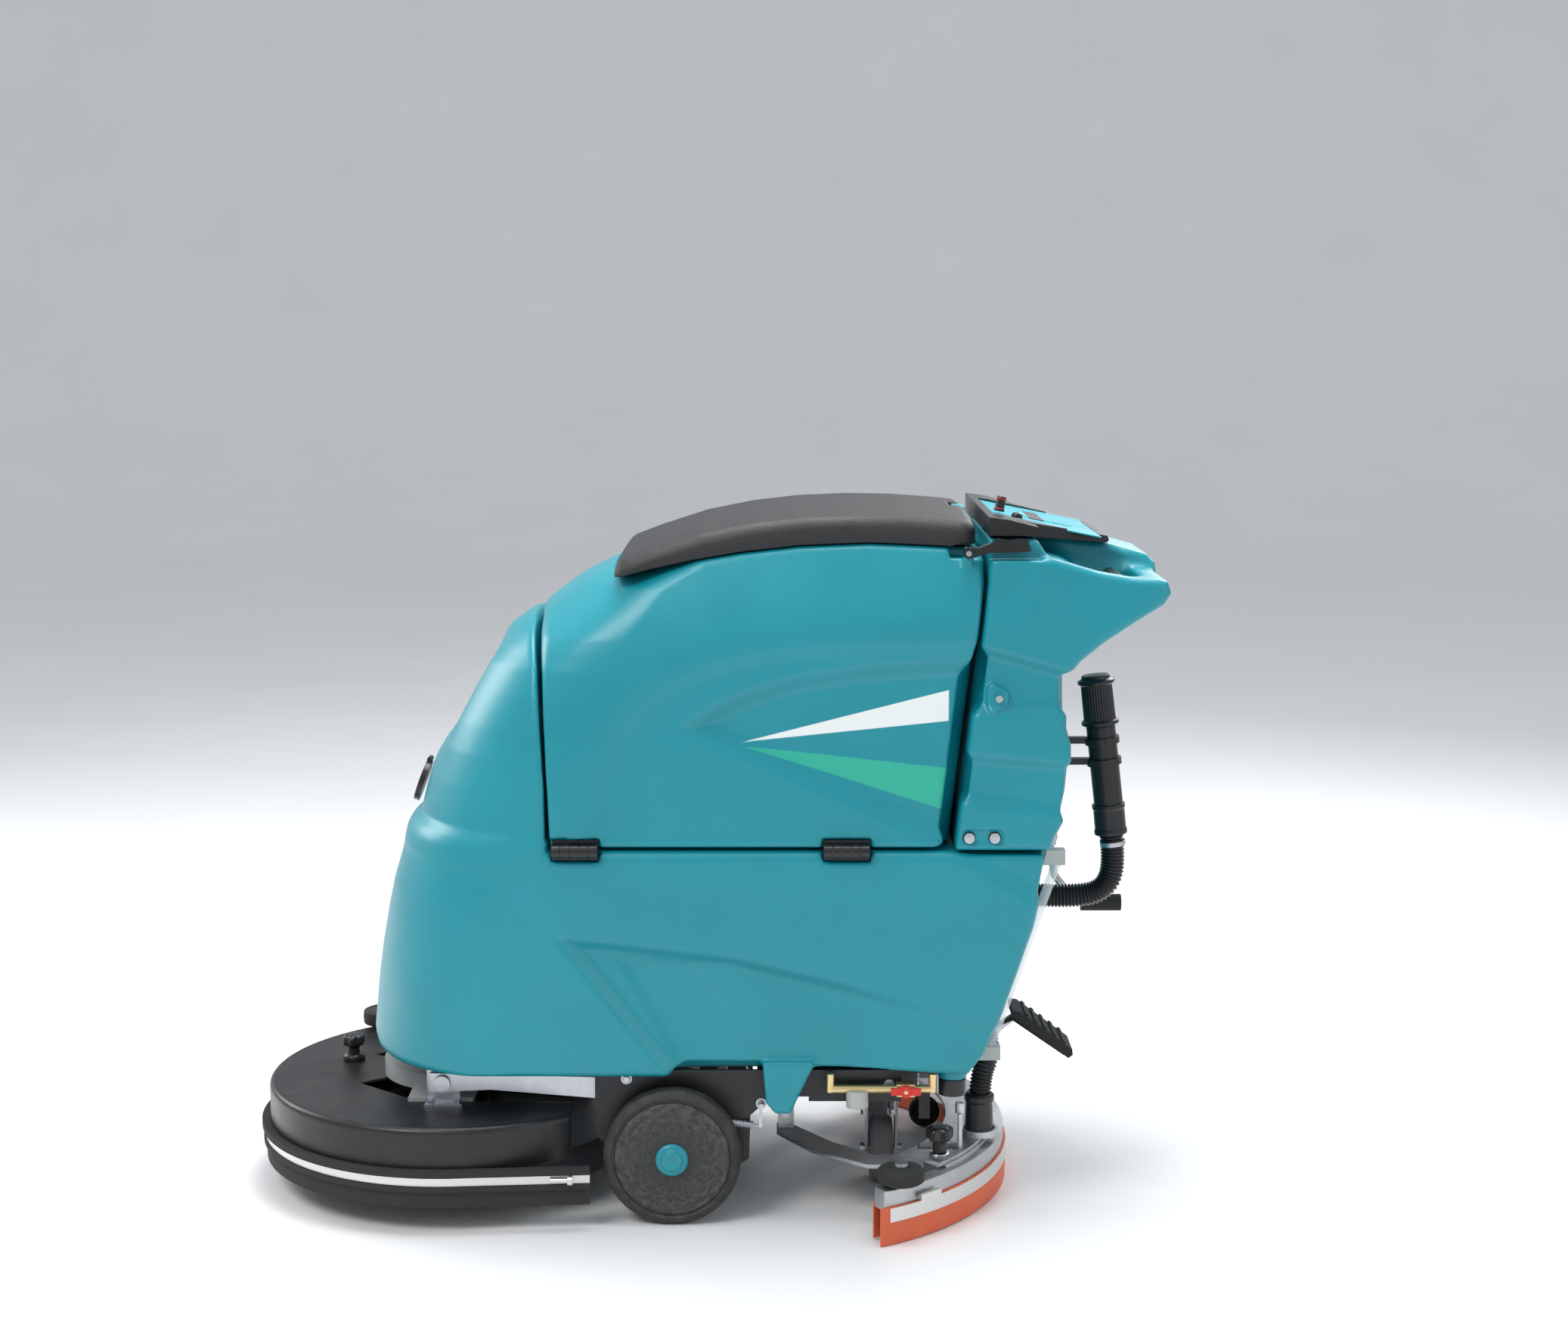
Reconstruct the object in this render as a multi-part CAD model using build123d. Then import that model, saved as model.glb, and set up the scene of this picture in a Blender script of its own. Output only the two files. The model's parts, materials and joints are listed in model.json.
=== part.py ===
from build123d import *
import math
import os

# Walk-behind battery floor scrubber, millimetres.
# +Z is up, -X is the front, the operator walks at +X, the machine is symmetric about Y = 0.
# The origin lies on the floor under the middle of the machine.

# ---- driving dimensions: body ------------------------------------------------------------
BODY_HALF = 260.0          # half width of the tanks
SHOULDER_HALF = 224.0      # half width of the recovery tank under its lid
SHOULDER_Z = 800.0         # height where the sides start to lean in
WALL = 5.0                 # wall of the rotomoulded tanks
TANK_BOTTOM = 218.0        # underside of the lower tank
SEAM_Z = 550.0             # top of the lower tank, where the recovery tank rests
SEAM_GAP = 3.0             # gap between the two tanks at rest
FRONT_X = -496.0           # front of the lower tank at its foot
NOSE_X = -436.0            # front of the lower tank at the seam height
NOSE_Z = 562.0             # crease between the base and the prow
PROW_TOP_X = -236.0        # top edge of the prow
PROW_TOP_Z = 868.0
PROW_BACK_X = -212.0       # rear face of the prow at the seam height
REAR_X = 508.0             # rear of the lower tank at the seam height
REAR_FOOT_X = 396.0        # rear of the lower tank at its foot
CORNER_R = 175.0           # plan radius of the front corners
SIDE_GAP = 5.0             # gap of the upright seams

# ---- battery bay and water tank ----------------------------------------------------------
BAY_LENGTH = 500.0
BAY_WIDTH = 400.0
BAY_DEPTH = 236.0
BAY_FRONT_X = -165.0
BATTERY_LENGTH = 330.0
BATTERY_WIDTH = 172.0
BATTERY_HEIGHT = 220.0
BATTERY_GAP = 8.0
FILLER_R = 26.0            # bore of the fresh water filler
FILLER_Z = 604.0
FILLER_FACE_X = -414.0     # face of the prow at the filler's height
DRAIN_BOSS_R = 21.0

# ---- recovery tank and lid ---------------------------------------------------------------
TANK_REAR_X = 366.0        # rear face of the recovery tank at the seam
TANK_REAR_TOP_X = 410.0    # rear face of the recovery tank at its top
MOUTH_LENGTH = 330.0       # opening under the lid
MOUTH_WIDTH = 300.0
MOUTH_FRONT_X = -10.0
LID_THICK = 34.0
LID_WALL = 5.0
LID_FRONT_X = -112.0
LID_REAR_X = 400.0
LID_HALF = 226.0
LID_CLEAR = 1.5
LID_PIN_Z = 1016.0
TILT_HINGE_R = 10.0
TILT_PIN_R = 3.0
FIT_CLEAR = 0.05           # running radial clearance of pins and shafts

# ---- control housing and handles ---------------------------------------------------------
HOUSING_HALF = 258.0
GRIP_REAR_X = 672.0
SPINE_HALF = 88.0
FINGER_FRONT_X = 548.0
FINGER_REAR_X = 636.0
FINGER_OUTER = 206.0

# ---- drive axle and wheels ---------------------------------------------------------------
AXLE_X = -32.5
WHEEL_R = 100.0
WHEEL_OUTER_Y = 268.0
WHEEL_WIDTH = 38.0
AXLE_R = 10.0
HUB_CAP_R = 24.0
FRAME_PLATE_Y = 219.0      # outer face of the frame's side plates
FRAME_THICK = 5.0

# ---- casters -----------------------------------------------------------------------------
CASTER_X = 276.0
CASTER_Y = 102.0
CASTER_R = 50.0
CASTER_WIDTH = 36.0
CASTER_TRAIL = 32.0
CASTER_AXLE_R = 5.0
CASTER_STEM_R = 8.0
CASTER_PLATE_Z = 166.0

# ---- scrubbing deck ----------------------------------------------------------------------
DECK_X = -367.0
DECK_R = 292.0
DECK_TOP = 153.0
DECK_THICK = 4.0
DECK_SKIRT_TOP = 88.0
SKIRT_BOTTOM = 38.0
SKIRT_THICK = 6.0
BEAD_OUT = 305.0
BRUSH_R = 262.0
BRUSH_BOTTOM = 37.0
DISC_Z = 78.0
DISC_THICK = 12.0
DECK_SHAFT_R = 9.0
ARM_Y = 190.0              # middle plane of the deck's lift arms
ARM_PIVOT_X = -88.0
ARM_PIVOT_Z = 165.0
DECK_PIVOT_X = -372.0
DECK_PIVOT_Z = 190.0
PIVOT_R = 6.0

# ---- squeegee ----------------------------------------------------------------------------
SQ_X = 63.0                # centre of the squeegee's arc
SQ_R = 407.0               # outer face of the rear blade
SQ_HALF_ANGLE = 60.0
SQ_BODY_IN = 377.0
BLADE_THICK = 3.5
BLADE_TOP = 56.0
BODY_Z = 50.0
BODY_TOP = 80.0
CARRIER_Z = 84.0
CARRIER_THICK = 6.0
SQ_PIVOT_X = 132.0
SQ_PIVOT_Z = 112.0
SQ_PIVOT_Y = 85.0
ROLLER_R = 34.0
ROLLER_H = 24.0
SUPPORT_R = 25.0
SUPPORT_X = 356.0
SUPPORT_Y = 180.0
CUFF_X = 421.0
CUFF_Y = -122.0
CUFF_R = 23.0
HOSE_R = 17.0

# ---- drain hose, level tube, levers ------------------------------------------------------
DRAIN_Y = -30.0
DRAIN_R = 22.0
LEVEL_Y = -200.0
LEVEL_R = 7.0
LEVER_Y = 62.0
PEDAL_Y = 22.0

# Hinges, latch, levers and fittings
# ---- tilt hinges of the recovery tank ----------------------------------------------------
HINGE_Y = -BODY_HALF - 2.0
HINGE_Z = SEAM_Z + SEAM_GAP / 2
HINGE_CENTRES = (-168.0, 218.0)
HINGE_LENGTH = 66.0
KNUCKLES = 5
DRAIN_CAP_X = 374.0
DRAIN_CAP_Y = -214.0
LID_LUG_HALF = 30.0
LID_PIN_R = 4.0
FLOAT_X = 345.0
NOTCH_X = 362.0
NOTCH_Z = 966.0
NOTCH_INNER_Y = -205.0
LEVER_PIVOT = (604.0, 932.0)
LEVER_SHAFT_R = 6.0
LATCH_PIVOT = (387.0, 975.0)
LATCH_Y = -241.0
LATCH_PIN_R = 4.0
LATCH_POCKET_X = (424.0, 492.0)
LATCH_POCKET_Z = 965.0
KNOB_AT = (18.0, -80.0)
BUTTON_AT = (44.0, -100.0)
BUTTON_R = 9.0
DECK_REAR_X = -181.0
DECK_KNOB = (-542.0, 45.0)
DECK_ROLLER = (-523.0, 230.0)
HOSE_POINTS = [(CUFF_X, CUFF_Y, 140), (423, -118, 176), (438, -100, 210), (434, -90, 238)]
DRAIN_ELBOW_R = 18.0
DRAIN_POINTS = [(623, DRAIN_Y, 528), (628, DRAIN_Y, 482), (612, DRAIN_Y, 445), (572, DRAIN_Y, 430),
                (502, DRAIN_Y, 434)]
LEVEL_LOW = (430.0, 250.0)
LEVEL_HIGH = (522.0, 520.0)
LIFT_PIVOT = (540.0, 506.0)
PEDAL_PIVOT = (388.0, 196.0)
VALVE_Y = -FRAME_PLATE_Y - 17
VALVE_Z = 195.0
HANDLE_X = 305.0
HANDLE_HALF = 21.5
BOWL_X = 235.0
FILLER_HINGE_X = -407.0
FILLER_HINGE_Z = 638.0
FILLER_PIN_R = 1.5


# ---- helpers -----------------------------------------------------------------------------
def block(x0, x1, y0, y1, z0, z1):
    """A box between two corners."""
    centre = ((x0 + x1) / 2, (y0 + y1) / 2, (z0 + z1) / 2)
    return Pos(*centre) * Box(abs(x1 - x0), abs(y1 - y0), abs(z1 - z0))


def rod(start, end, radius):
    """A round bar from one point to another."""
    start, end = Vector(*start), Vector(*end)
    run = end - start
    plane = Plane(origin=start, z_dir=run)
    return extrude(plane * Circle(radius), run.length)


def upright(x, y, z0, z1, radius):
    """A round bar standing along Z."""
    return rod((x, y, z0), (x, y, z1), radius)


def across(x, y0, y1, z, radius):
    """A round bar lying along Y."""
    return rod((x, y0, z), (x, y1, z), radius)


def side_face(points):
    """A flat face in the XZ plane from straight runs."""
    wire = Polyline(*[(x, 0, z) for x, z in points], close=True)
    return make_face(wire)


def side_plate(points, y0, y1):
    """A side profile given thickness from y0 to y1."""
    return extrude(Pos(0, y0, 0) * side_face(points), y1 - y0, dir=(0, 1, 0))


def plan_plate(points, z0, z1):
    """A plan outline given thickness from z0 to z1."""
    wire = Polyline(*[(x, y, z0) for x, y in points], close=True)
    return extrude(make_face(wire), z1 - z0, dir=(0, 0, 1))


def ring(x, y, z0, z1, outer, inner):
    return upright(x, y, z0, z1, outer) - upright(x, y, z0 - 1, z1 + 1, inner)


def mirrored(shape):
    """The same piece on the machine's other side."""
    return mirror(shape, about=Plane.XZ)


def star_knob(x, y, z, lobes, radius, height):
    """A moulded clamping knob with rounded lobes on a plain neck."""
    knob = upright(x, y, z + height * 0.45, z + height, radius * 0.72)
    for index in range(lobes):
        turn = math.tau * index / lobes
        lobe_x = x + radius * 0.68 * math.cos(turn)
        lobe_y = y + radius * 0.68 * math.sin(turn)
        knob += upright(lobe_x, lobe_y, z + height * 0.45, z + height, radius * 0.32)
    return knob + upright(x, y, z, z + height * 0.5, radius * 0.5)


def arc_bar(inner, outer, z0, z1, half_angle):
    """A bar that follows the squeegee's arc."""
    bar = ring(SQ_X, 0, z0, z1, outer, inner)
    reach = outer * 2
    turn = math.radians(half_angle)
    tip = (SQ_X + reach * math.cos(turn), reach * math.sin(turn))
    wedge = plan_plate([(SQ_X, 0), (tip[0], -tip[1]), (reach * 2, -tip[1]),
                        (reach * 2, tip[1]), tip], z0 - 2, z1 + 2)
    return bar & wedge


def hose(points, radii, outer, inner=0.0):
    """A hose along straight runs joined by tangent arcs."""
    path = FilletPolyline(*points, radius=radii)
    start = Plane(origin=path @ 0, z_dir=path % 0)
    section = start * Circle(outer)
    if inner:
        section = start * (Circle(outer) - Circle(inner))
    return sweep(section, path=path)


def corner_radii(points):
    """0.45 of the shorter run over the tangent of half the turn, at each corner."""
    radii = []
    for before, here, after in zip(points, points[1:], points[2:]):
        first = Vector(*here) - Vector(*before)
        second = Vector(*after) - Vector(*here)
        turn = math.radians(first.get_angle(second))
        radii.append(0.45 * min(first.length, second.length) / math.tan(turn / 2))
    return radii


# ---- lower tank --------------------------------------------------------------------------
def front_plan(x_front, half, corner):
    """Plan of the tank's rounded front, open far behind it."""
    far = REAR_X + 400
    with BuildLine() as outline:
        a = Line((far, -half), (x_front + corner * 1.25, -half))
        b = ThreePointArc(a @ 1, (x_front + corner * 0.30, -half + corner * 0.36),
                          (x_front + corner * 0.02, -half + corner * 1.15))
        c = ThreePointArc(b @ 1, (x_front, 0), (x_front + corner * 0.02, half - corner * 1.15))
        d = ThreePointArc(c @ 1, (x_front + corner * 0.30, half - corner * 0.36),
                          (x_front + corner * 1.25, half))
        e = Line(d @ 1, (far, half))
        Line(e @ 1, a @ 0)
    return make_face(outline.line)


def base_profile(inset):
    """Side profile of the lower tank, drawn in by the wall for its inside."""
    return side_face([
        (FRONT_X + inset, TANK_BOTTOM + 34),
        (FRONT_X + 22 + inset, TANK_BOTTOM + inset),
        (REAR_FOOT_X - inset, TANK_BOTTOM + inset),
        (REAR_FOOT_X + 24 - inset, TANK_BOTTOM + 32),
        (REAR_X - 22 - inset, TANK_BOTTOM + 222),
        (REAR_X - inset, SEAM_Z - inset),
        (NOSE_X + inset, SEAM_Z - inset)])


def prow_profile(inset):
    """Side profile of the prow that stands in front of the recovery tank."""
    return side_face([
        (NOSE_X + 16 + inset, SEAM_Z - 20),
        (NOSE_X + 16 + inset, NOSE_Z + 12),
        (-404 + inset, 629),
        (-371 + inset, 717 - inset),
        (-322 + inset, 803 - inset),
        (-270, 854 - inset),
        (PROW_TOP_X - inset, PROW_TOP_Z - inset),
        (PROW_BACK_X - inset, SEAM_Z - 20)])


def section_limit(inset):
    """Cross-section shared by the prow and the recovery tank, as a long bar along X."""
    half = BODY_HALF - inset
    with BuildLine() as outline:
        a = Line((0, -half, 0), (0, -half, SHOULDER_Z))
        b = ThreePointArc(a @ 1, (0, -half + 10, SHOULDER_Z + 85),
                          (0, -SHOULDER_HALF + inset, SHOULDER_Z + 172))
        c = Line(b @ 1, (0, -SHOULDER_HALF + inset, 1100))
        d = Line(c @ 1, (0, SHOULDER_HALF - inset, 1100))
        e = Line(d @ 1, (0, SHOULDER_HALF - inset, SHOULDER_Z + 172))
        f = ThreePointArc(e @ 1, (0, half - 10, SHOULDER_Z + 85), (0, half, SHOULDER_Z))
        g = Line(f @ 1, (0, half, 0))
        Line(g @ 1, a @ 0)
    face = Pos(-900, 0, 0) * make_face(outline.line)
    return extrude(face, 1800, dir=(1, 0, 0))


def leaning(x_low, z_low, x_high, z_high, inset):
    """The rounded front plan pushed along a slope, from z_low to z_high."""
    plan = Pos(0, 0, z_low) * front_plan(x_low + inset, BODY_HALF - inset, CORNER_R)
    run = Vector(x_high - x_low, 0, z_high - z_low)
    return extrude(plan, run.length, dir=run.normalized())


def tank_outer(inset):
    base = extrude(Pos(0, -400, 0) * base_profile(inset), 800, dir=(0, 1, 0))
    base = base & leaning(FRONT_X, 190, NOSE_X - 2, 580, inset)
    prow = extrude(Pos(0, -400, 0) * prow_profile(inset), 800, dir=(0, 1, 0))
    prow = prow & leaning(NOSE_X - 19, 500, NOSE_X + 91, 900, inset) & section_limit(inset)
    return base + prow


def bay_box(grow):
    return block(BAY_FRONT_X - grow, BAY_FRONT_X + BAY_LENGTH + grow,
                 -BAY_WIDTH / 2 - grow, BAY_WIDTH / 2 + grow,
                 SEAM_Z - BAY_DEPTH - grow, SEAM_Z + 1)


def lower_tank():
    """Water tank, battery bay and prow in one moulding."""
    tank = tank_outer(0) - tank_outer(WALL)
    bay_wall = bay_box(WALL) & block(-900, 900, -400, 400, 0, SEAM_Z)
    tank = tank + bay_wall - bay_box(0)
    neck = rod((-470, 0, FILLER_Z), (-385, 0, FILLER_Z), FILLER_R + WALL)
    tank = tank + (neck & tank_outer(0)) - rod((-480, 0, FILLER_Z), (-370, 0, FILLER_Z), FILLER_R)
    lug = side_plate([(101, TANK_BOTTOM), (104, 178), (116, 164), (138, 164), (169, TANK_BOTTOM)],
                     -BODY_HALF + 22, -BODY_HALF + 4)
    boss = upright(DRAIN_CAP_X, DRAIN_CAP_Y, TANK_BOTTOM - 12, TANK_BOTTOM, DRAIN_BOSS_R)
    tank = tank + lug + mirrored(lug) + boss + filler_hinge()
    return tank - hinge_pocket(0.0)


def hinge_pocket(extra):
    """The pockets that the hinge barrels lie in, in both tanks."""
    half = HINGE_LENGTH / 2 + 2
    pockets = []
    for centre in HINGE_CENTRES:
        pockets.append(block(centre - half, centre + half, HINGE_Y - 20, HINGE_Y + 14 + extra,
                             HINGE_Z - 15, HINGE_Z + 15))
    return pockets[0] + pockets[1]


def hinge_half(lower):
    """The knuckles and leaf of one side of both hinges, as two solids."""
    pitch = HINGE_LENGTH / KNUCKLES
    leaves = []
    for centre in HINGE_CENTRES:
        start = centre - HINGE_LENGTH / 2
        sign = -1 if lower else 1
        leaf = block(start, start + HINGE_LENGTH, HINGE_Y + 9, HINGE_Y + 13.5,
                     HINGE_Z + sign * 1.0, HINGE_Z + sign * 14.5)
        for index in range(KNUCKLES):
            if (index % 2 == 0) == lower:
                x0 = start + index * pitch + 0.3
                x1 = start + (index + 1) * pitch - 0.3
                knuckle = rod((x0, HINGE_Y, HINGE_Z), (x1, HINGE_Y, HINGE_Z), TILT_HINGE_R)
                arm = block(x0, x1, HINGE_Y, HINGE_Y + 10, HINGE_Z + sign * 1.2, HINGE_Z + sign * 9.5)
                leaf = leaf + knuckle + arm
            else:
                x0 = start + index * pitch - 0.01
                x1 = start + (index + 1) * pitch + 0.01
                leaf = leaf - rod((x0, HINGE_Y, HINGE_Z), (x1, HINGE_Y, HINGE_Z), TILT_HINGE_R + 0.6)
        bore = TILT_PIN_R if lower else TILT_PIN_R + FIT_CLEAR
        hole = rod((start - 1, HINGE_Y, HINGE_Z), (start + HINGE_LENGTH + 1, HINGE_Y, HINGE_Z), bore)
        leaves.append(leaf - hole)
    return leaves[0] + leaves[1]


def hinge_pins():
    pins = []
    for centre in HINGE_CENTRES:
        half = HINGE_LENGTH / 2 - 0.3
        pins.append(rod((centre - half, HINGE_Y, HINGE_Z), (centre + half, HINGE_Y, HINGE_Z),
                        TILT_PIN_R))
    return pins[0] + pins[1]


# ---- recovery tank and lid ---------------------------------------------------------------
def lid_edge(x):
    """Height of the recovery tank's rim along the lid."""
    crest = 250.0
    return 986.0 - 52.0 * ((x - crest) / (LID_FRONT_X - crest)) ** 2


def rim_points(x0, x1, lift, count=7):
    return [(x0 + (x1 - x0) * step / count, lid_edge(x0 + (x1 - x0) * step / count) + lift)
            for step in range(count + 1)]


def recovery_profile(inset):
    front_low = PROW_BACK_X + SIDE_GAP + 1.5 + inset
    front_high = PROW_TOP_X + SIDE_GAP + 1.5 + inset
    rim = rim_points(LID_FRONT_X, TANK_REAR_TOP_X - 6 - inset, -inset)
    return side_face([(front_low, SEAM_Z + SEAM_GAP + inset), (front_high, 868 - inset),
                      (-205 + inset, 897 - inset), (-160, 922 - inset)] + rim
                     + [(TANK_REAR_TOP_X - inset, 930), (TANK_REAR_X - inset, SEAM_Z + SEAM_GAP + inset)])


def latch_notch(grow):
    """Step in the tank's rear corner that the latch reaches over."""
    return side_plate([(NOTCH_X - grow, 1100), (NOTCH_X - grow, 992), (NOTCH_X + 14 - grow, NOTCH_Z - grow),
                       (430, NOTCH_Z - grow), (430, 1100)], -BODY_HALF - 20, NOTCH_INNER_Y + grow)


def recovery_tank():
    """Dirty water tank with a mouth under the lid."""
    solids = []
    for inset in (0.0, WALL):
        body = extrude(Pos(0, -400, 0) * recovery_profile(inset), 800, dir=(0, 1, 0))
        solids.append(body & section_limit(inset))
    mouth = block(MOUTH_FRONT_X, MOUTH_FRONT_X + MOUTH_LENGTH, -MOUTH_WIDTH / 2, MOUTH_WIDTH / 2,
                  900, 1100)
    cavity = solids[1] - latch_notch(WALL)
    tank = solids[0] - latch_notch(0.0) - cavity - mouth - hinge_pocket(0.0)
    lug = block(LID_REAR_X - 22, LID_REAR_X - 2, -LID_LUG_HALF, LID_LUG_HALF, 970, LID_PIN_Z + 7)
    ear = block(LATCH_PIVOT[0] - 8, LATCH_PIVOT[0] + 8, LATCH_Y + 2, LATCH_Y + 8, NOTCH_Z - 3,
                LATCH_PIVOT[1] + 7)
    tank = tank + lug + ear - latch_pin()
    return tank - across(LID_REAR_X - 12, -60, 60, LID_PIN_Z, LID_PIN_R)


def lid_solid(inset):
    half = LID_HALF - inset
    low = rim_points(LID_FRONT_X + inset, LID_REAR_X - inset, LID_CLEAR)
    high = rim_points(LID_FRONT_X + inset, LID_REAR_X - inset, LID_THICK - inset)
    crown = [(x, z + 14.0 * math.sin(math.pi * (x - LID_FRONT_X) / (LID_REAR_X - LID_FRONT_X)) ** 0.5)
             for x, z in reversed(high)]
    slab = extrude(Pos(0, -half, 0) * side_face(low + crown), 2 * half, dir=(0, 1, 0))
    return slab


def lid():
    """Tank lid, hollow underneath, with a notch for its hinge lug."""
    cover = lid_solid(0.0)
    hollow = lid_solid(LID_WALL) & block(-900, 900, -400, 400, 0, 2000)
    hollow = Pos(0, 0, -2.0 * LID_CLEAR) * hollow
    notch = block(LID_REAR_X - 26, LID_REAR_X + 5, -LID_LUG_HALF - 2, LID_LUG_HALF + 2, 900, 1100)
    web = block(LID_REAR_X - 24, LID_REAR_X, -LID_LUG_HALF - 14, LID_LUG_HALF + 14, 990,
                LID_PIN_Z + 7) & cover
    relief = block(LID_REAR_X - 32, LID_REAR_X + 5, -300, 300, 940, LID_PIN_Z - 32)
    cover = cover - hollow + web - notch - relief
    return cover - across(LID_REAR_X - 12, -60, 60, LID_PIN_Z, LID_PIN_R + FIT_CLEAR)


def lid_gasket():
    """Rubber seal around the mouth."""
    rim = 12.0
    outer = block(MOUTH_FRONT_X - rim, MOUTH_FRONT_X + MOUTH_LENGTH + rim,
                  -MOUTH_WIDTH / 2 - rim, MOUTH_WIDTH / 2 + rim, 900, 1100)
    inner = block(MOUTH_FRONT_X + 1, MOUTH_FRONT_X + MOUTH_LENGTH - 1,
                  -MOUTH_WIDTH / 2 + 1, MOUTH_WIDTH / 2 - 1, 890, 1110)
    layer = extrude(Pos(0, -400, 0) * side_face(
        rim_points(LID_FRONT_X, TANK_REAR_TOP_X - 6, 0.0)
        + list(reversed(rim_points(LID_FRONT_X, TANK_REAR_TOP_X - 6, 5.0)))), 800, dir=(0, 1, 0))
    return (outer - inner) & layer


def lid_pin():
    half = LID_LUG_HALF + 12
    return across(LID_REAR_X - 12, -half, half, LID_PIN_Z, LID_PIN_R)


def float_cage():
    """Suction intake with its float, hung from the tank's roof."""
    roof = lid_edge(FLOAT_X)
    cage = ring(FLOAT_X - 2, 0, 880, roof, 17, 14)
    cage = cage & extrude(Pos(0, -400, 0) * recovery_profile(WALL), 800, dir=(0, 1, 0))
    floor = upright(FLOAT_X - 2, 0, 876, 880.2, 17)
    return cage + floor


def float_ball():
    return Pos(FLOAT_X - 2, 0, 894.5) * Sphere(13)


# ---- control housing ---------------------------------------------------------------------
def housing_profile():
    return side_face([
        (TANK_REAR_X + SIDE_GAP + 1, SEAM_Z + 0.5), (REAR_X, SEAM_Z + 0.5), (527, 596),
        (536, 640), (536, 700), (529, 730), (528, 797), (548, 823), (622, 876),
        (664, 903), (GRIP_REAR_X, 920), (668, 936), (655, 941), (604, 943), (560, 950), (520, 966),
        (430, 974), (TANK_REAR_TOP_X + SIDE_GAP + 2, 974), (TANK_REAR_TOP_X + SIDE_GAP + 1, 930)])


def spine_profile():
    return side_face([
        (TANK_REAR_TOP_X + SIDE_GAP + 2, 960), (TANK_REAR_TOP_X + SIDE_GAP + 2, 996.5), (440, 997.3),
        (600, 975.5), (660, 958), (GRIP_REAR_X, 948), (GRIP_REAR_X, 920), (640, 900)])


def control_housing():
    """Rear column, side arms, rear grips and middle spine in one moulding."""
    body = extrude(Pos(0, -HOUSING_HALF, 0) * housing_profile(), 2 * HOUSING_HALF, dir=(0, 1, 0))
    spine = extrude(Pos(0, -SPINE_HALF, 0) * spine_profile(), 2 * SPINE_HALF, dir=(0, 1, 0))
    head = side_plate([(TANK_REAR_TOP_X + SIDE_GAP + 2, 960), (TANK_REAR_TOP_X + SIDE_GAP + 2, 994),
                       (486, 990), (520, 960)], -236, 236)
    body = body + spine + head
    for side in (-1, 1):
        y0 = side * (SPINE_HALF + 2)
        y1 = side * FINGER_OUTER
        body = body - block(FINGER_FRONT_X, FINGER_REAR_X, min(y0, y1), max(y0, y1), 780, 1000)
    inside = side_plate([(379, 540), (500, 540), (503, 562), (519, 600), (529, 644), (529, 698),
                         (522, 729), (521, 800), (541, 830), (541, 940), (424, 955), (422, 928)],
                        -HOUSING_HALF + 6, HOUSING_HALF - 6)
    lever_bore = across(LEVER_PIVOT[0], -SPINE_HALF - 5, SPINE_HALF + 5, LEVER_PIVOT[1],
                        LEVER_SHAFT_R + FIT_CLEAR)
    return body - inside - lever_bore - latch_pocket()


def latch_pocket():
    """Step in the housing's shoulder that the latch rests over."""
    return block(*LATCH_POCKET_X, LATCH_Y - 30, LATCH_Y + 5, LATCH_POCKET_Z, 1010)


def drive_lever():
    """Operator presence lever: a shaft through the spine with a paddle for each hand."""
    x, z = LEVER_PIVOT
    shaft = across(x, -SPINE_HALF - 24, SPINE_HALF + 24, z, LEVER_SHAFT_R)
    paddle = side_plate([(x - 7, z - 6), (x + 22, z - 16), (x + 27, z - 8), (x + 2, z + 8),
                         (x - 7, z + 6)], -198, -SPINE_HALF - 10)
    return shaft + paddle + mirrored(paddle)


def tank_latch():
    """Lever on the recovery tank that hooks it to the control housing."""
    x, z = LATCH_PIVOT
    hub = across(x, LATCH_Y - 16, LATCH_Y, z, 7.5)
    arm = side_plate([(x - 4, z - 6), (x - 3, z + 7), (x + 12, z + 7), (x + 31, z + 14), (x + 41, z + 21),
                      (x + 55, z + 18), (x + 71, z + 20), (x + 83, z + 18), (x + 87, z + 3),
                      (x + 63, z + 1), (x + 31, z + 1), (x + 5, z - 6)], LATCH_Y - 16, LATCH_Y)
    return hub + arm - across(x, LATCH_Y - 40, LATCH_Y + 40, z, LATCH_PIN_R + FIT_CLEAR)


def latch_pin():
    return across(LATCH_PIVOT[0], LATCH_Y - 18, LATCH_Y + 8, LATCH_PIVOT[1], LATCH_PIN_R)


def panel_bezel():
    """Black frame of the control panel."""
    front = TANK_REAR_TOP_X + SIDE_GAP + 2
    head = side_plate([(front, 998), (front, 1024), (446, 1020), (486, 1010), (478, 997.5)], -236, 236)
    tail = side_plate([(440, 998.5), (440, 1021), (533, 1001), (600, 986), (603, 980), (600, 976)],
                      -200, 200)
    taper = plan_plate([(400, -200), (470, -200), (604, -98), (604, 98), (470, 200), (400, 200)],
                       900, 1100)
    pocket = extrude(on_panel(*BUTTON_AT) * Circle(BUTTON_R + 0.5), 6, both=True)
    return head + (tail & taper) - panel_cut(0.0) - pocket


def panel_cut(shrink):
    """The shallow field of the bezel that the panel plate lies in."""
    slope = Plane(origin=(424, 0, 1019.0), x_dir=(190, 0, -38), z_dir=(38, 0, 190))
    field = slope * Pos(85, 0, 0) * Rectangle(160 - shrink, 300 - shrink)
    return extrude(field, 6, dir=(38, 0, 190))


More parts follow.
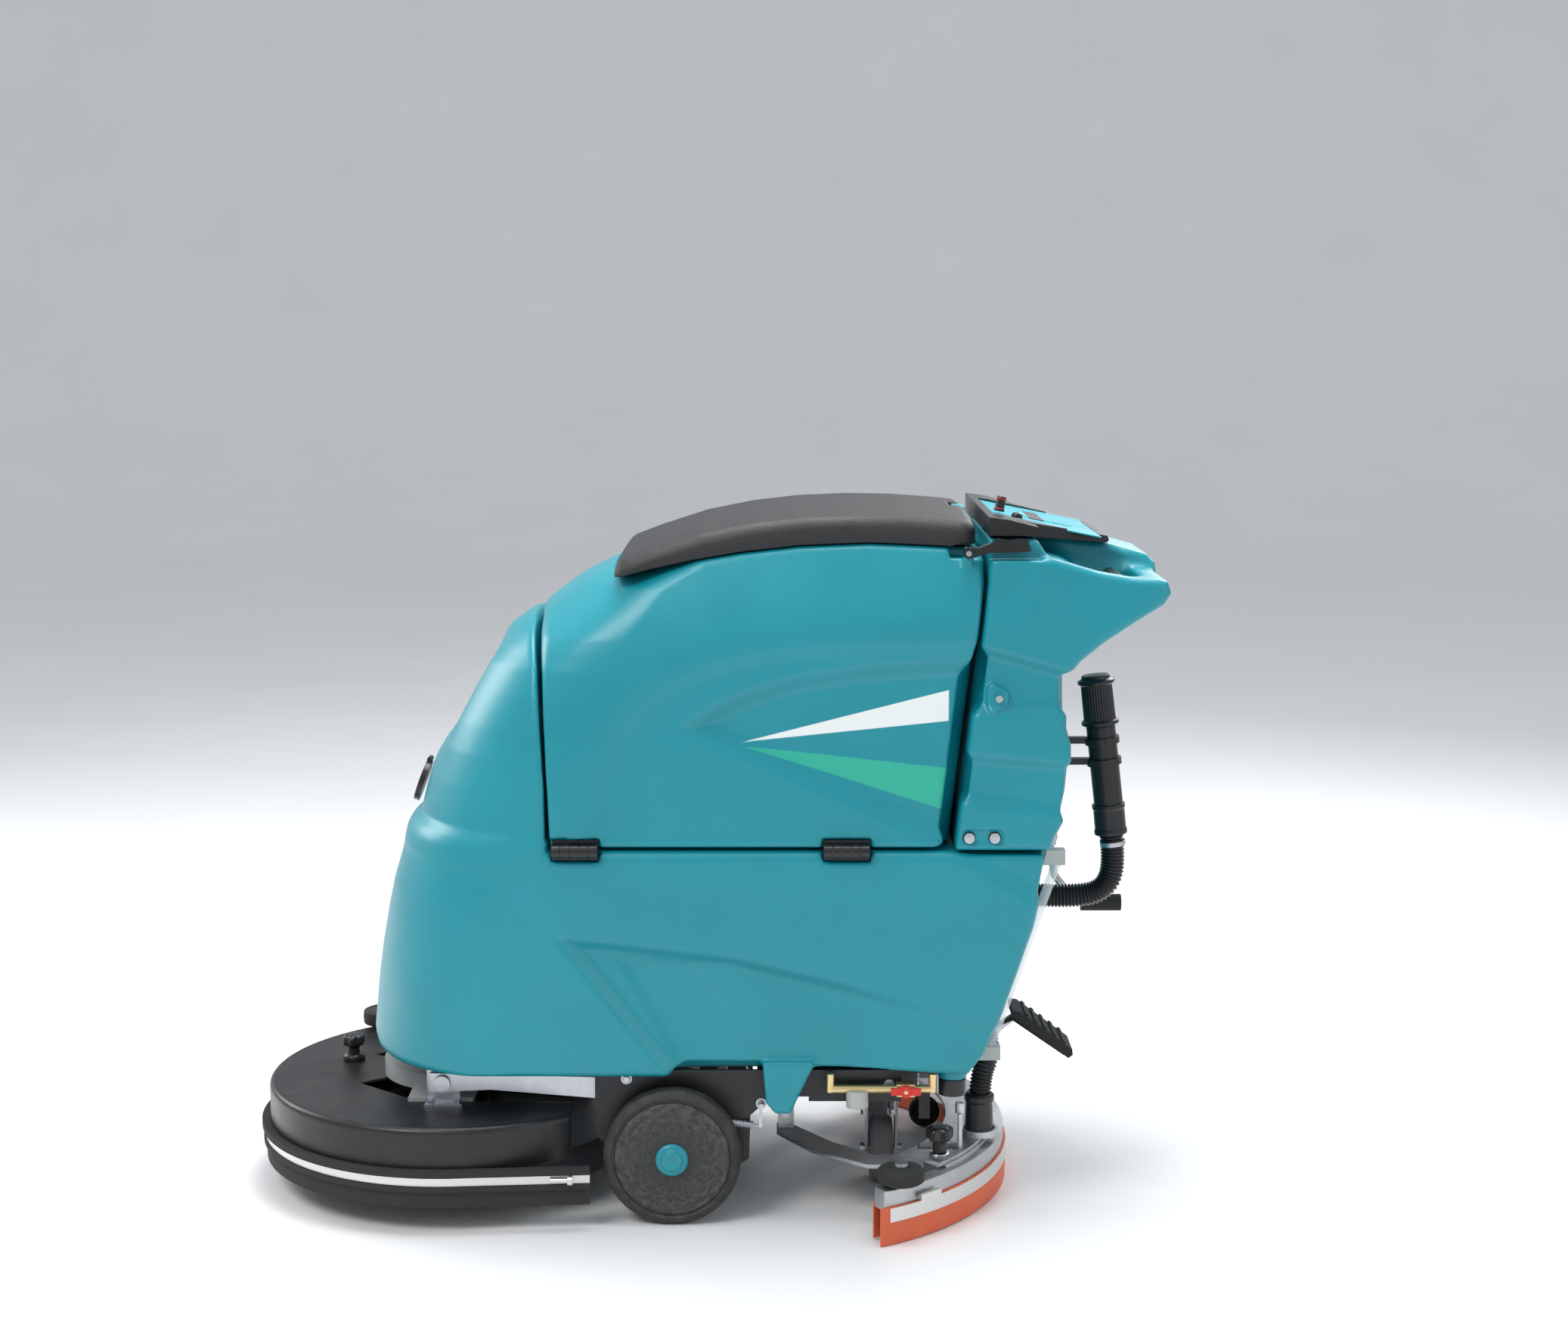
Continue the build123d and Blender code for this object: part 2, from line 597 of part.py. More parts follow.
def panel_plate():
    """Printed front field of the panel."""
    slope = Plane(origin=(424, 0, 1019.0), x_dir=(190, 0, -38), z_dir=(38, 0, 190))
    plate = extrude(slope * Pos(85, 0, 0) * Rectangle(159, 299), 2.0)
    screen = extrude(slope * Pos(95, 0, 0) * Rectangle(70, 120), 3.2)
    hole_speed = extrude(slope * Pos(KNOB_AT[0], KNOB_AT[1], 0) * Circle(3 + FIT_CLEAR), 8, both=True)
    hole_button = extrude(slope * Pos(BUTTON_AT[0], BUTTON_AT[1], 0) * Circle(BUTTON_R + 0.5), 8, both=True)
    return plate + screen - hole_speed - hole_button


def on_panel(u, v):
    """A plane on the panel's face at u along the slope and v across it."""
    slope = Plane(origin=(424, 0, 1019.0), x_dir=(190, 0, -38), z_dir=(38, 0, 190))
    return slope * Pos(u, v, 2.0)


def speed_knob():
    place = on_panel(*KNOB_AT)
    stem = place * Pos(0, 0, 4) * Cylinder(3, 10)
    knob = place * Pos(0, 0, 17) * Cylinder(8, 22)
    groove = place * Pos(0, 7.5, 22) * Box(1.6, 2, 16)
    return knob + stem - groove


def panel_button():
    return on_panel(*BUTTON_AT) * Pos(0, 0, 1.5) * Cylinder(BUTTON_R, 7)


def housing_screws():
    """Cross-head screws with cup washers, two on each side."""
    screws = []
    for side in (-1, 1):
        for x in (392.0, 428.0):
            y = side * HOUSING_HALF
            head = across(x, y, y + side * 2, 570, 7.5) + across(x, y, y + side * 4, 570, 4.5)
            screws.append(head)
        tab = across(432.0, side * HOUSING_HALF, side * (HOUSING_HALF + 2), 770, 5)
        screws.append(tab)
    return screws[0] + screws[1] + screws[2] + screws[3] + screws[4] + screws[5]


def vacuum_motor():
    """Suction motor with its fan case, inside the rear column."""
    fan = upright(462, 0, 600, 640, 54)
    can = upright(462, 0, 640, 710, 40)
    foot = block(455, 469, -HOUSING_HALF + 6, HOUSING_HALF - 6, 594, 600.5)
    return fan + can + foot


# ---- frame, axle and wheels --------------------------------------------------------------
def side_plate_outline():
    return [(-146, TANK_BOTTOM), (-146, 120), (-110, 84), (-30, 74), (60, 74), (78, 84),
            (80, 150), (112, 178), (165, 178), (165, 171), (300, 171), (300, TANK_BOTTOM)]


def chassis_frame():
    """Welded frame: side plates, deck plates and the casters' cross plate."""
    plate = side_plate(side_plate_outline(), -FRAME_PLATE_Y, -FRAME_PLATE_Y + FRAME_THICK)
    frame = plate + mirrored(plate)
    inner = FRAME_PLATE_Y - FRAME_THICK + 1
    frame = frame + block(-146, -120, -inner, inner, 206, TANK_BOTTOM)
    frame = frame + block(90, 340, -inner, inner, TANK_BOTTOM - 6, TANK_BOTTOM)
    frame = frame + block(CASTER_X - 50, CASTER_X + 50, -160, 160, CASTER_PLATE_Z + 6, TANK_BOTTOM - 4)
    for side in (-1, 1):
        y = side * CASTER_Y
        frame = frame - upright(CASTER_X, y, CASTER_PLATE_Z, TANK_BOTTOM - 10, CASTER_STEM_R + FIT_CLEAR)
        hanger = block(SQ_PIVOT_X - 12, SQ_PIVOT_X + 12, side * SQ_PIVOT_Y - 3, side * SQ_PIVOT_Y + 3,
                       SQ_PIVOT_Z - 12, TANK_BOTTOM - 3)
        frame = frame + hanger
        lug_y = side * (ARM_Y - 14)
        lug = block(ARM_PIVOT_X - 14, ARM_PIVOT_X + 14, lug_y - 3, lug_y + 3, ARM_PIVOT_Z - 14, 212)
        bridge = block(ARM_PIVOT_X - 14, ARM_PIVOT_X + 14, lug_y - 3, side * inner, 206, TANK_BOTTOM)
        frame = frame + lug + bridge
    frame = frame - across(SQ_PIVOT_X, -200, 200, SQ_PIVOT_Z, PIVOT_R)
    frame = frame - across(ARM_PIVOT_X, -210, 210, ARM_PIVOT_Z, PIVOT_R)
    frame = frame - across(AXLE_X, -300, 300, WHEEL_R, AXLE_R)
    return frame


def pivot_pins():
    """Bolts that the deck arms and the squeegee carrier turn on."""
    pins = []
    for side in (-1, 1):
        y0, y1 = side * (ARM_Y - 19), side * (ARM_Y + 8)
        pins.append(across(ARM_PIVOT_X, y0, y1, ARM_PIVOT_Z, PIVOT_R))
        y0, y1 = side * (SQ_PIVOT_Y - 4), side * (SQ_PIVOT_Y + 16)
        pins.append(across(SQ_PIVOT_X, y0, y1, SQ_PIVOT_Z, PIVOT_R))
    return pins[0] + pins[1] + pins[2] + pins[3]


def drive_axle():
    """Through shaft for both drive wheels."""
    return across(AXLE_X, -WHEEL_OUTER_Y + 6, WHEEL_OUTER_Y - 6, WHEEL_R, AXLE_R)


def drive_motor():
    """Traction gearmotor hung on the axle."""
    gear = across(AXLE_X, -40, 40, WHEEL_R, 44)
    can = rod((AXLE_X + 30, 0, WHEEL_R), (AXLE_X + 112, 0, WHEEL_R + 22), 34)
    motor = gear + can
    motor = motor - across(AXLE_X, -50, 50, WHEEL_R, AXLE_R)
    stay = block(AXLE_X + 60, AXLE_X + 74, -16, 16, 140, TANK_BOTTOM - 5)
    shelf = block(AXLE_X + 60, 90, -16, 16, TANK_BOTTOM - 6, TANK_BOTTOM)
    return motor + stay + shelf


def axle_bearings():
    """Bearing blocks bolted to the side plates."""
    blocks = []
    for side in (-1, 1):
        y0 = side * (FRAME_PLATE_Y - FRAME_THICK)
        y1 = side * (FRAME_PLATE_Y - FRAME_THICK - 22)
        bore = across(AXLE_X, y0 + side, y1 - side, WHEEL_R, AXLE_R)
        housing = across(AXLE_X, y0, y1, WHEEL_R, 26) - bore
        blocks.append(housing)
    return blocks[0] + blocks[1]


def wheel_tyre(side):
    y_in = side * (WHEEL_OUTER_Y - WHEEL_WIDTH)
    tyre = across(AXLE_X, y_in, side * WHEEL_OUTER_Y, WHEEL_R, WHEEL_R)
    tyre = chamfer(tyre.edges().filter_by(GeomType.CIRCLE), 8)
    return tyre - across(AXLE_X, y_in - side, side * (WHEEL_OUTER_Y + 1), WHEEL_R, WHEEL_R - 16)


def wheel_disc(side):
    y_in = side * (WHEEL_OUTER_Y - WHEEL_WIDTH + 1)
    y_out = side * (WHEEL_OUTER_Y + 1.0)
    disc = across(AXLE_X, y_in, y_out, WHEEL_R, WHEEL_R - 16)
    bore = across(AXLE_X, y_in - side, side * (WHEEL_OUTER_Y - 4), WHEEL_R, AXLE_R + FIT_CLEAR)
    seat = across(AXLE_X, side * (WHEEL_OUTER_Y - 5), y_out + side, WHEEL_R, HUB_CAP_R)
    return disc - bore - seat


def wheel_cap(side):
    y0 = side * (WHEEL_OUTER_Y - 4.9)
    rim = across(AXLE_X, y0, side * (WHEEL_OUTER_Y + 7), WHEEL_R, HUB_CAP_R)
    return rim + across(AXLE_X, y0, side * (WHEEL_OUTER_Y + 10), WHEEL_R, HUB_CAP_R * 0.6)


def lift_spring():
    """Tension spring beside the wheel, held by a bolt on the side plate."""
    spring = rod((52, -FRAME_PLATE_Y - 6, 141), (84, -FRAME_PLATE_Y - 6, 137), 4.5)
    eye = rod((83, -FRAME_PLATE_Y - 6, 137), (93, -FRAME_PLATE_Y - 6, 136), 2.0)
    bolt = across(96, -FRAME_PLATE_Y, -FRAME_PLATE_Y - 16, 168, 4)
    link = block(92.5, 97, -FRAME_PLATE_Y - 8, -FRAME_PLATE_Y - 3, 134, 168)
    return spring + eye + bolt + link


# ---- casters -----------------------------------------------------------------------------
def caster_fork(y):
    """Swivelling fork with its stem, wheel trailing towards +Y."""
    stem = upright(CASTER_X, y, CASTER_PLATE_Z - 4, TANK_BOTTOM - 11, CASTER_STEM_R)
    race = upright(CASTER_X, y, CASTER_PLATE_Z - 5, CASTER_PLATE_Z + 5.5, 24)
    half = CASTER_WIDTH / 2 + 2.5
    crown = block(CASTER_X - half - 4, CASTER_X + half + 4, y - 26, y + 44, CASTER_PLATE_Z - 9,
                  CASTER_PLATE_Z - 5)
    fork = stem + race + crown
    for side in (-1, 1):
        x0, x1 = CASTER_X + side * half, CASTER_X + side * (half + 4)
        leg = Polyline((x0, y - 20, CASTER_PLATE_Z - 6), (x0, y + 44, CASTER_PLATE_Z - 6),
                       (x0, y + CASTER_TRAIL + 14, CASTER_R - 12),
                       (x0, y + CASTER_TRAIL - 12, CASTER_R - 12), close=True)
        fork = fork + extrude(make_face(leg), abs(x1 - x0), dir=(side, 0, 0))
    axle = y + CASTER_TRAIL
    bolt = rod((CASTER_X - half - 5, axle, CASTER_R), (CASTER_X + half + 5, axle, CASTER_R),
               CASTER_AXLE_R)
    return fork + bolt


def caster_nuts(y):
    """Axle nuts of one caster, outside its fork."""
    axle = y + CASTER_TRAIL
    half = CASTER_WIDTH / 2 + 2.5 + 4
    nuts = []
    for side in (-1, 1):
        nuts.append(rod((CASTER_X + side * half, axle, CASTER_R),
                        (CASTER_X + side * (half + 7), axle, CASTER_R), 8)
                    - rod((CASTER_X + side * (half - 1), axle, CASTER_R),
                          (CASTER_X + side * (half + 1.2), axle, CASTER_R), CASTER_AXLE_R))
    return nuts[0] + nuts[1]


def caster_wheel(y):
    axle = y + CASTER_TRAIL
    half = CASTER_WIDTH / 2
    wheel = rod((CASTER_X - half, axle, CASTER_R), (CASTER_X + half, axle, CASTER_R), CASTER_R)
    wheel = fillet(wheel.edges().filter_by(GeomType.CIRCLE), 9)
    bore = rod((CASTER_X - half - 1, axle, CASTER_R), (CASTER_X + half + 1, axle, CASTER_R),
               CASTER_AXLE_R + FIT_CLEAR)
    return wheel - bore


# ---- scrubbing deck ----------------------------------------------------------------------
def deck_cutout(z0, z1):
    """Opening of the deck around the brush motor, open to the rear."""
    half = [(-508, -73), (-478, -50), (-455, -20)]
    front = half + [(x, -y) for x, y in reversed(half)]
    rear = [(-426, 150), (-300, 165), (-60, 165), (-60, -165), (-300, -165), (-426, -150)]
    return plan_plate(front + rear, z0, z1)


def deck_plate():
    """Pressed cover of the brush with its side wall."""
    disc = upright(DECK_X, 0, DECK_SKIRT_TOP - 2, DECK_TOP, DECK_R)
    disc = disc - upright(DECK_X, 0, DECK_SKIRT_TOP - 3, DECK_TOP - DECK_THICK, DECK_R - DECK_THICK)
    disc = disc - deck_cutout(DECK_TOP - DECK_THICK - 1, DECK_TOP + 1)
    disc = disc - block(DECK_REAR_X, 0, -400, 400, 0, 300)
    hanger = block(DECK_X - 120, DECK_X + 120, -182, 182, DECK_TOP - 4, DECK_TOP)
    hanger = hanger & (block(-420, -330, -182, 182, 100, 200))
    disc = disc + hanger
    return disc - upright(DECK_X, 0, 100, 200, DECK_SHAFT_R + 8)


def skirt_wall(inner, outer, z0, z1):
    """A wall round the deck's front that runs on straight beside its rear wings."""
    wall = ring(DECK_X, 0, z0, z1, outer, inner) & block(-900, -330, -400, 400, z0 - 1, z1 + 1)
    drop = 14.0
    end_x = -150.0
    start = math.sqrt(outer ** 2 - (-330 - DECK_X) ** 2)
    flap = plan_plate([(-330.5, -start), (-330.5, -start + outer - inner),
                       (end_x, -start + outer - inner + drop), (end_x, -start + drop)], z0, z1)
    return wall + flap + mirrored(flap)


def deck_skirt():
    """Rubber splash skirt with its two beads."""
    skirt = skirt_wall(DECK_R + 0.5, DECK_R + 0.5 + SKIRT_THICK, SKIRT_BOTTOM, DECK_SKIRT_TOP + 6)
    upper = skirt_wall(DECK_R + 1, BEAD_OUT, DECK_SKIRT_TOP - 4, DECK_SKIRT_TOP + 6)
    lower = skirt_wall(DECK_R + 1, BEAD_OUT - 2, DECK_SKIRT_TOP - 26, DECK_SKIRT_TOP - 18)
    return skirt + upper + lower


def skirt_band():
    """Clamping band between the beads."""
    inner = DECK_R + 0.8 + SKIRT_THICK
    return skirt_wall(inner, inner + 1.5, DECK_SKIRT_TOP - 17.5, DECK_SKIRT_TOP - 4.5)


def skirt_clamps():
    """Clamp bolts that tighten the band at both rear ends."""
    clamps = []
    for side in (-1, 1):
        y = side * 293.0
        clamps.append(rod((-206, y, DECK_SKIRT_TOP - 11), (-176, y, DECK_SKIRT_TOP - 11), 3.5)
                      + rod((-181, y, DECK_SKIRT_TOP - 11), (-174, y, DECK_SKIRT_TOP - 11), 6.5))
    return clamps[0] + clamps[1]


def deck_brackets():
    """Plated brackets that carry the deck on its arms, with their bolts."""
    brackets = []
    for side in (-1, 1):
        y = side * (ARM_Y - 13)
        foot = block(DECK_PIVOT_X - 28, DECK_PIVOT_X + 28, y - 14, y + 3, DECK_TOP, DECK_TOP + 4)
        ear = block(DECK_PIVOT_X - 24, DECK_PIVOT_X + 24, y - 3, y + 3, DECK_TOP + 3, DECK_PIVOT_Z + 16)
        bracket = foot + ear - across(DECK_PIVOT_X, y - 10, y + 10, DECK_PIVOT_Z, PIVOT_R)
        for x in (DECK_PIVOT_X - 20, DECK_PIVOT_X + 20):
            bracket = bracket + upright(x, y - 8, DECK_TOP + 4, DECK_TOP + 10, 5.5)
        brackets.append(bracket)
    return brackets[0] + mirrored(brackets[0])


def deck_pivot_bolts():
    bolts = []
    for side in (-1, 1):
        shank = across(DECK_PIVOT_X, side * (ARM_Y - 16), side * (ARM_Y + 5), DECK_PIVOT_Z, PIVOT_R)
        head = across(DECK_PIVOT_X, side * (ARM_Y + 4.5), side * (ARM_Y + 10), DECK_PIVOT_Z, 12)
        bolts.append(shank + head)
    return bolts[0] + bolts[1]


def lift_frame():
    """Both lift arms of the deck with their cross tube."""
    arm = side_plate([(DECK_PIVOT_X - 18, DECK_PIVOT_Z - 14), (DECK_PIVOT_X - 18, DECK_PIVOT_Z + 15),
                      (-150, 199), (ARM_PIVOT_X + 14, ARM_PIVOT_Z + 16),
                      (ARM_PIVOT_X + 14, ARM_PIVOT_Z - 14), (-130, 166), (-300, 180)],
                     -ARM_Y - 3, -ARM_Y + 3)
    arm = arm - across(DECK_PIVOT_X, -300, -100, DECK_PIVOT_Z, PIVOT_R + FIT_CLEAR)
    arm = arm - across(ARM_PIVOT_X, -300, -100, ARM_PIVOT_Z, PIVOT_R + FIT_CLEAR)
    return arm + mirrored(arm) + across(-172, -ARM_Y, ARM_Y, 182, 8)


def brush_motor():
    """Brush gearmotor standing on the deck plate."""
    gear = upright(DECK_X, 0, DECK_TOP, DECK_TOP + 24, 118)
    can = upright(DECK_X, 0, DECK_TOP + 23, DECK_TOP + 55, 58)
    lugs = block(DECK_X - 60, DECK_X + 36, -178, 178, DECK_TOP, DECK_TOP + 6)
    bore = upright(DECK_X, 0, DECK_TOP - 1, DECK_TOP + 12, DECK_SHAFT_R + FIT_CLEAR)
    keep = block(DECK_X - 60, DECK_X + 36, -165, 165, DECK_TOP - 1, DECK_TOP + 8)
    return gear + can + (lugs & keep) - bore


def pad_driver():
    """Round driver plate with its shaft."""
    plate = upright(DECK_X, 0, DISC_Z, DISC_Z + DISC_THICK, BRUSH_R)
    hub = upright(DECK_X, 0, DISC_Z + DISC_THICK - 1, DISC_Z + 34, 40)
    shaft = upright(DECK_X, 0, DISC_Z + 30, DECK_TOP + 11.5, DECK_SHAFT_R)
    return plate + hub + shaft


def brush_bristles():
    """Ring of bristles under the driver."""
    return ring(DECK_X, 0, BRUSH_BOTTOM, DISC_Z, BRUSH_R - 4, 95)


def deck_knob():
    x, y = DECK_KNOB
    knob = star_knob(x, y, DECK_TOP + 10.3, 6, 18, 31)
    base = upright(x, y, DECK_TOP + 0.3, DECK_TOP + 11, 17.5)
    return knob + base


def deck_roller():
    x, y = DECK_ROLLER
    return ring(x, y, DECK_TOP + 4, DECK_TOP + 30, 35, 6 + FIT_CLEAR)


def deck_roller_pin():
    x, y = DECK_ROLLER
    return upright(x, y, DECK_TOP, DECK_TOP + 34, 6) + upright(x, y, DECK_TOP + 31, DECK_TOP + 35, 10)


# ---- squeegee ----------------------------------------------------------------------------
def squeegee_carrier():
    """Horseshoe plate that carries the squeegee from two front pivots."""
    z0, z1 = CARRIER_Z, CARRIER_Z + CARRIER_THICK
    horseshoe = arc_bar(SQ_BODY_IN - 62, SQ_BODY_IN + 10, z0, z1, 41)
    horseshoe = horseshoe - support_slots()
    for side in (-1, 1):
        strip = plan_plate([(SQ_PIVOT_X - 14, side * 72), (SQ_PIVOT_X - 14, side * 112),
                            (170, side * 196), (250, side * 262), (330, side * 268),
                            (332, side * 216), (262, side * 218), (200, side * 160),
                            (SQ_PIVOT_X + 14, side * 84)], z0, z1)
        ear_y = side * (SQ_PIVOT_Y + 10)
        ear = block(SQ_PIVOT_X - 12, SQ_PIVOT_X + 12, ear_y - 3, ear_y + 3, z0, SQ_PIVOT_Z + 13)
        horseshoe = horseshoe + strip + ear
    socket = ring(CUFF_X, CUFF_Y, z1, z1 + 10, CUFF_R + 5, CUFF_R)
    horseshoe = horseshoe + socket
    return horseshoe - across(SQ_PIVOT_X, -130, 130, SQ_PIVOT_Z, PIVOT_R + FIT_CLEAR)


def support_slots():
    """Clearance round the support wheels."""
    slot = block(SUPPORT_X - 31, SUPPORT_X + 31, -SUPPORT_Y - 13, -SUPPORT_Y + 13, 60, 140)
    return slot + mirrored(slot)


def squeegee_body():
    """Cast bar that the blades are clamped to."""
    bar = arc_bar(SQ_BODY_IN, SQ_R - BLADE_THICK, BODY_Z, BODY_TOP, SQ_HALF_ANGLE - 1)
    pad = arc_bar(SQ_BODY_IN - 8, SQ_BODY_IN + 12, BODY_TOP - 6, CARRIER_Z, 39)
    return bar + pad


def squeegee_blades():
    """Rear and front rubber blades."""
    rear = arc_bar(SQ_R - BLADE_THICK, SQ_R, 1.0, BLADE_TOP, SQ_HALF_ANGLE)
    front = arc_bar(SQ_BODY_IN - BLADE_THICK, SQ_BODY_IN, 3.0, BLADE_TOP, SQ_HALF_ANGLE - 1)
    return rear + front


def blade_straps():
    """Clamping strips of both blades."""
    rear = arc_bar(SQ_R, SQ_R + 1.5, 34, BLADE_TOP - 1, SQ_HALF_ANGLE - 2)
    front = arc_bar(SQ_BODY_IN - BLADE_THICK - 1.5, SQ_BODY_IN - BLADE_THICK, 34, BLADE_TOP - 1,
                    SQ_HALF_ANGLE - 3)
    return rear + front


def on_arc(radius, angle):
    turn = math.radians(angle)
    return SQ_X + radius * math.cos(turn), radius * math.sin(turn)


def squeegee_roller(side):
    x, y = on_arc(SQ_R - 16, side * (SQ_HALF_ANGLE - 6.5))
    return ring(x, y, BODY_TOP + 2, BODY_TOP + 2 + ROLLER_H, ROLLER_R, 6 + FIT_CLEAR)


def roller_bolts():
    """Bolts of the squeegee's bumper rollers."""
    bolts = []
    for side in (-1, 1):
        x, y = on_arc(SQ_R - 16, side * (SQ_HALF_ANGLE - 6.5))
        bolts.append(upright(x, y, BODY_TOP, BODY_TOP + ROLLER_H + 6, 6)
                     + upright(x, y, BODY_TOP + ROLLER_H + 3, BODY_TOP + ROLLER_H + 8, 10))
    return bolts[0] + bolts[1]


def squeegee_knob(side):
    x, y = on_arc(SQ_BODY_IN - 14, side * 36)
    return star_knob(x, y, CARRIER_Z + CARRIER_THICK + 0.3, 6, 21, 42)


def support_wheel(side):
    y0, y1 = side * (SUPPORT_Y - 9), side * (SUPPORT_Y + 9)
    wheel = across(SUPPORT_X, y0, y1, SUPPORT_R, SUPPORT_R)
    return wheel - across(SUPPORT_X, y0 - side, y1 + side, SUPPORT_R, 4 + FIT_CLEAR)


def support_brackets():
    """Plated brackets of the squeegee's support wheels with their bolts."""
    bracket = block(SUPPORT_X - 9, SUPPORT_X + 9, -SUPPORT_Y + 10, -SUPPORT_Y + 13, SUPPORT_R - 9,
                    CARRIER_Z + CARRIER_THICK + 6)
    shelf = block(SUPPORT_X - 9, SUPPORT_X + 9, -SUPPORT_Y + 10, -SUPPORT_Y + 26,
                  CARRIER_Z + CARRIER_THICK, CARRIER_Z + CARRIER_THICK + 6)
    bolt = across(SUPPORT_X, -SUPPORT_Y - 11, -SUPPORT_Y + 11, SUPPORT_R, 4)
    half = bracket + shelf + bolt
    return half + mirrored(half)


def blade_latch():
    """Toggle latch that tensions the rear strap."""
    x, y = on_arc(SQ_R + 4, -48)
    turn = math.degrees(math.atan2(y, x - SQ_X))
    body = Pos(x, y, 62) * Rot(0, 0, turn) * Box(6, 40, 9)
    return body


def suction_cuff():
    return ring(CUFF_X, CUFF_Y, CARRIER_Z + CARRIER_THICK + 0.2, 154, CUFF_R - 0.2, HOSE_R + 1.5)


def suction_hose():
    return hose(HOSE_POINTS, corner_radii(HOSE_POINTS), HOSE_R)


# ---- drain hose, level tube, valve and levers --------------------------------------------
def drain_tube():
    """Straight upper part of the drain hose with its cuff."""
    tube = rod((604, DRAIN_Y, 696), (620, DRAIN_Y, 560), DRAIN_R)
    cuff = rod((618, DRAIN_Y, 575), (623, DRAIN_Y, 528), DRAIN_R + 3)
    return tube + cuff


def drain_elbow():
    return hose(DRAIN_POINTS, corner_radii(DRAIN_POINTS), DRAIN_ELBOW_R)


def drain_socket():
    """Outlet of the tank that the drain hose is pushed on."""
    socket = rod((470, DRAIN_Y, 435.83), (502, DRAIN_Y, 434), 24) - tank_outer(0)
    return socket.solids().sort_by(Axis.X)[-1]


def drain_cap():
    """Turning cap and flow valve on the drain hose."""
    body = rod((603.8, DRAIN_Y, 696.3), (596, DRAIN_Y, 762), DRAIN_R + 6)
    return body + rod((596.5, DRAIN_Y, 758), (594.8, DRAIN_Y, 772), DRAIN_R)


def hose_clips():
    """Clips on the column that hold the drain hose."""
    clips = []
    for z in (672.0, 640.0):
        x = 604 + (696 - z) * 16 / 136
        grip = rod((x - 0.6, DRAIN_Y, z + 5), (x + 0.6, DRAIN_Y, z - 5), DRAIN_R + 4)
        grip = grip - rod((604, DRAIN_Y, 696), (620, DRAIN_Y, 560), DRAIN_R + 0.2)
        stem = block(536.0, x - DRAIN_R - 1, DRAIN_Y - 6, DRAIN_Y + 6, z - 5, z + 5)
        clips.append(grip + stem)
    return clips[0] + clips[1]


def level_tube():
    """Clear water level tube up the tank's rear corner."""
    return rod((LEVEL_LOW[0], LEVEL_Y, LEVEL_LOW[1]), (LEVEL_HIGH[0], LEVEL_Y, LEVEL_HIGH[1]), LEVEL_R)


def level_fittings():
    """Elbow fittings at both ends of the level tube."""
    low = block(412, 444, LEVEL_Y - 11, LEVEL_Y + 11, LEVEL_LOW[1] - 20, LEVEL_LOW[1])
    low = low - tank_outer(0)
    high = block(500, 534, LEVEL_Y - 11, LEVEL_Y + 11, LEVEL_HIGH[1] + 0.5, LEVEL_HIGH[1] + 22)
    high = high - tank_outer(0)
    cut = level_tube()
    low_part = (low - cut).solids().sort_by(SortBy.VOLUME)[-1]
    return low_part + (high - cut).solids().sort_by(SortBy.VOLUME)[-1]


def lift_bracket():
    """Bracket of the squeegee lift lever on the tank's rear wall."""
    x, z = LIFT_PIVOT
    bracket = block(485, x + 9, LEVER_Y - 15, LEVER_Y - 9, z - 12, z + 14)
    bracket = bracket - tank_outer(0)
    pin = across(x, LEVER_Y - 14, LEVER_Y + 7, z, PIVOT_R)
    return bracket.solids().sort_by(SortBy.VOLUME)[-1] + pin


def lift_lever():
    """Steel rod that raises the squeegee."""
    x, z = LIFT_PIVOT
    hub = across(x, LEVER_Y - 8.5, LEVER_Y + 5, z, 12)
    points = [(x, LEVER_Y, z), (x + 8, LEVER_Y, z - 62), (x + 42, LEVER_Y, z - 106),
              (x + 104, LEVER_Y, z - 106)]
    bar = hose(points, [18, 24], 6)
    return hub + bar - across(x, LEVER_Y - 20, LEVER_Y + 20, z, PIVOT_R + FIT_CLEAR)


def lever_grip():
    x, z = LIFT_PIVOT
    grip = rod((x + 50, LEVER_Y, z - 106), (x + 112, LEVER_Y, z - 106), 13)
    return grip - rod((x + 49, LEVER_Y, z - 106), (x + 104, LEVER_Y, z - 106), 6)


def pedal_arm():
    """Plated lever of the deck pedal."""
    x, z = PEDAL_PIVOT
    arm = side_plate([(x - 12, z - 10), (x - 12, z + 10), (x + 60, z + 14), (484, 234), (566, 172),
                      (563, 167), (484, 222), (x + 62, z), (x + 10, z - 10)], PEDAL_Y - 4, PEDAL_Y + 4)
    return arm - across(x, PEDAL_Y - 10, PEDAL_Y + 10, z, PIVOT_R + FIT_CLEAR)


def pedal_pad():
    """Ribbed rubber pad of the deck pedal."""
    pad = side_plate([(478, 239.2), (480, 248), (492, 246), (572, 187), (573, 178), (566, 173)],
                     PEDAL_Y - 38, PEDAL_Y + 38)
    return pad - pedal_arm()


def pedal_bracket():
    """Bracket of the deck pedal under the tank."""
    x, z = PEDAL_PIVOT
    hanger = block(x - 12, x + 7, PEDAL_Y - 13, PEDAL_Y - 7, z - 10, TANK_BOTTOM)
    shelf = block(330, x - 4, PEDAL_Y - 13, PEDAL_Y + 4, TANK_BOTTOM - 5, TANK_BOTTOM)
    shelf = shelf - block(339, 400, PEDAL_Y - 6, PEDAL_Y + 10, 150, TANK_BOTTOM + 1)
    shelf = shelf - block(300, 340, -300, 300, TANK_BOTTOM - 6.5, TANK_BOTTOM + 1)
    return hanger + shelf + across(x, PEDAL_Y - 9, PEDAL_Y + 6, z, PIVOT_R)


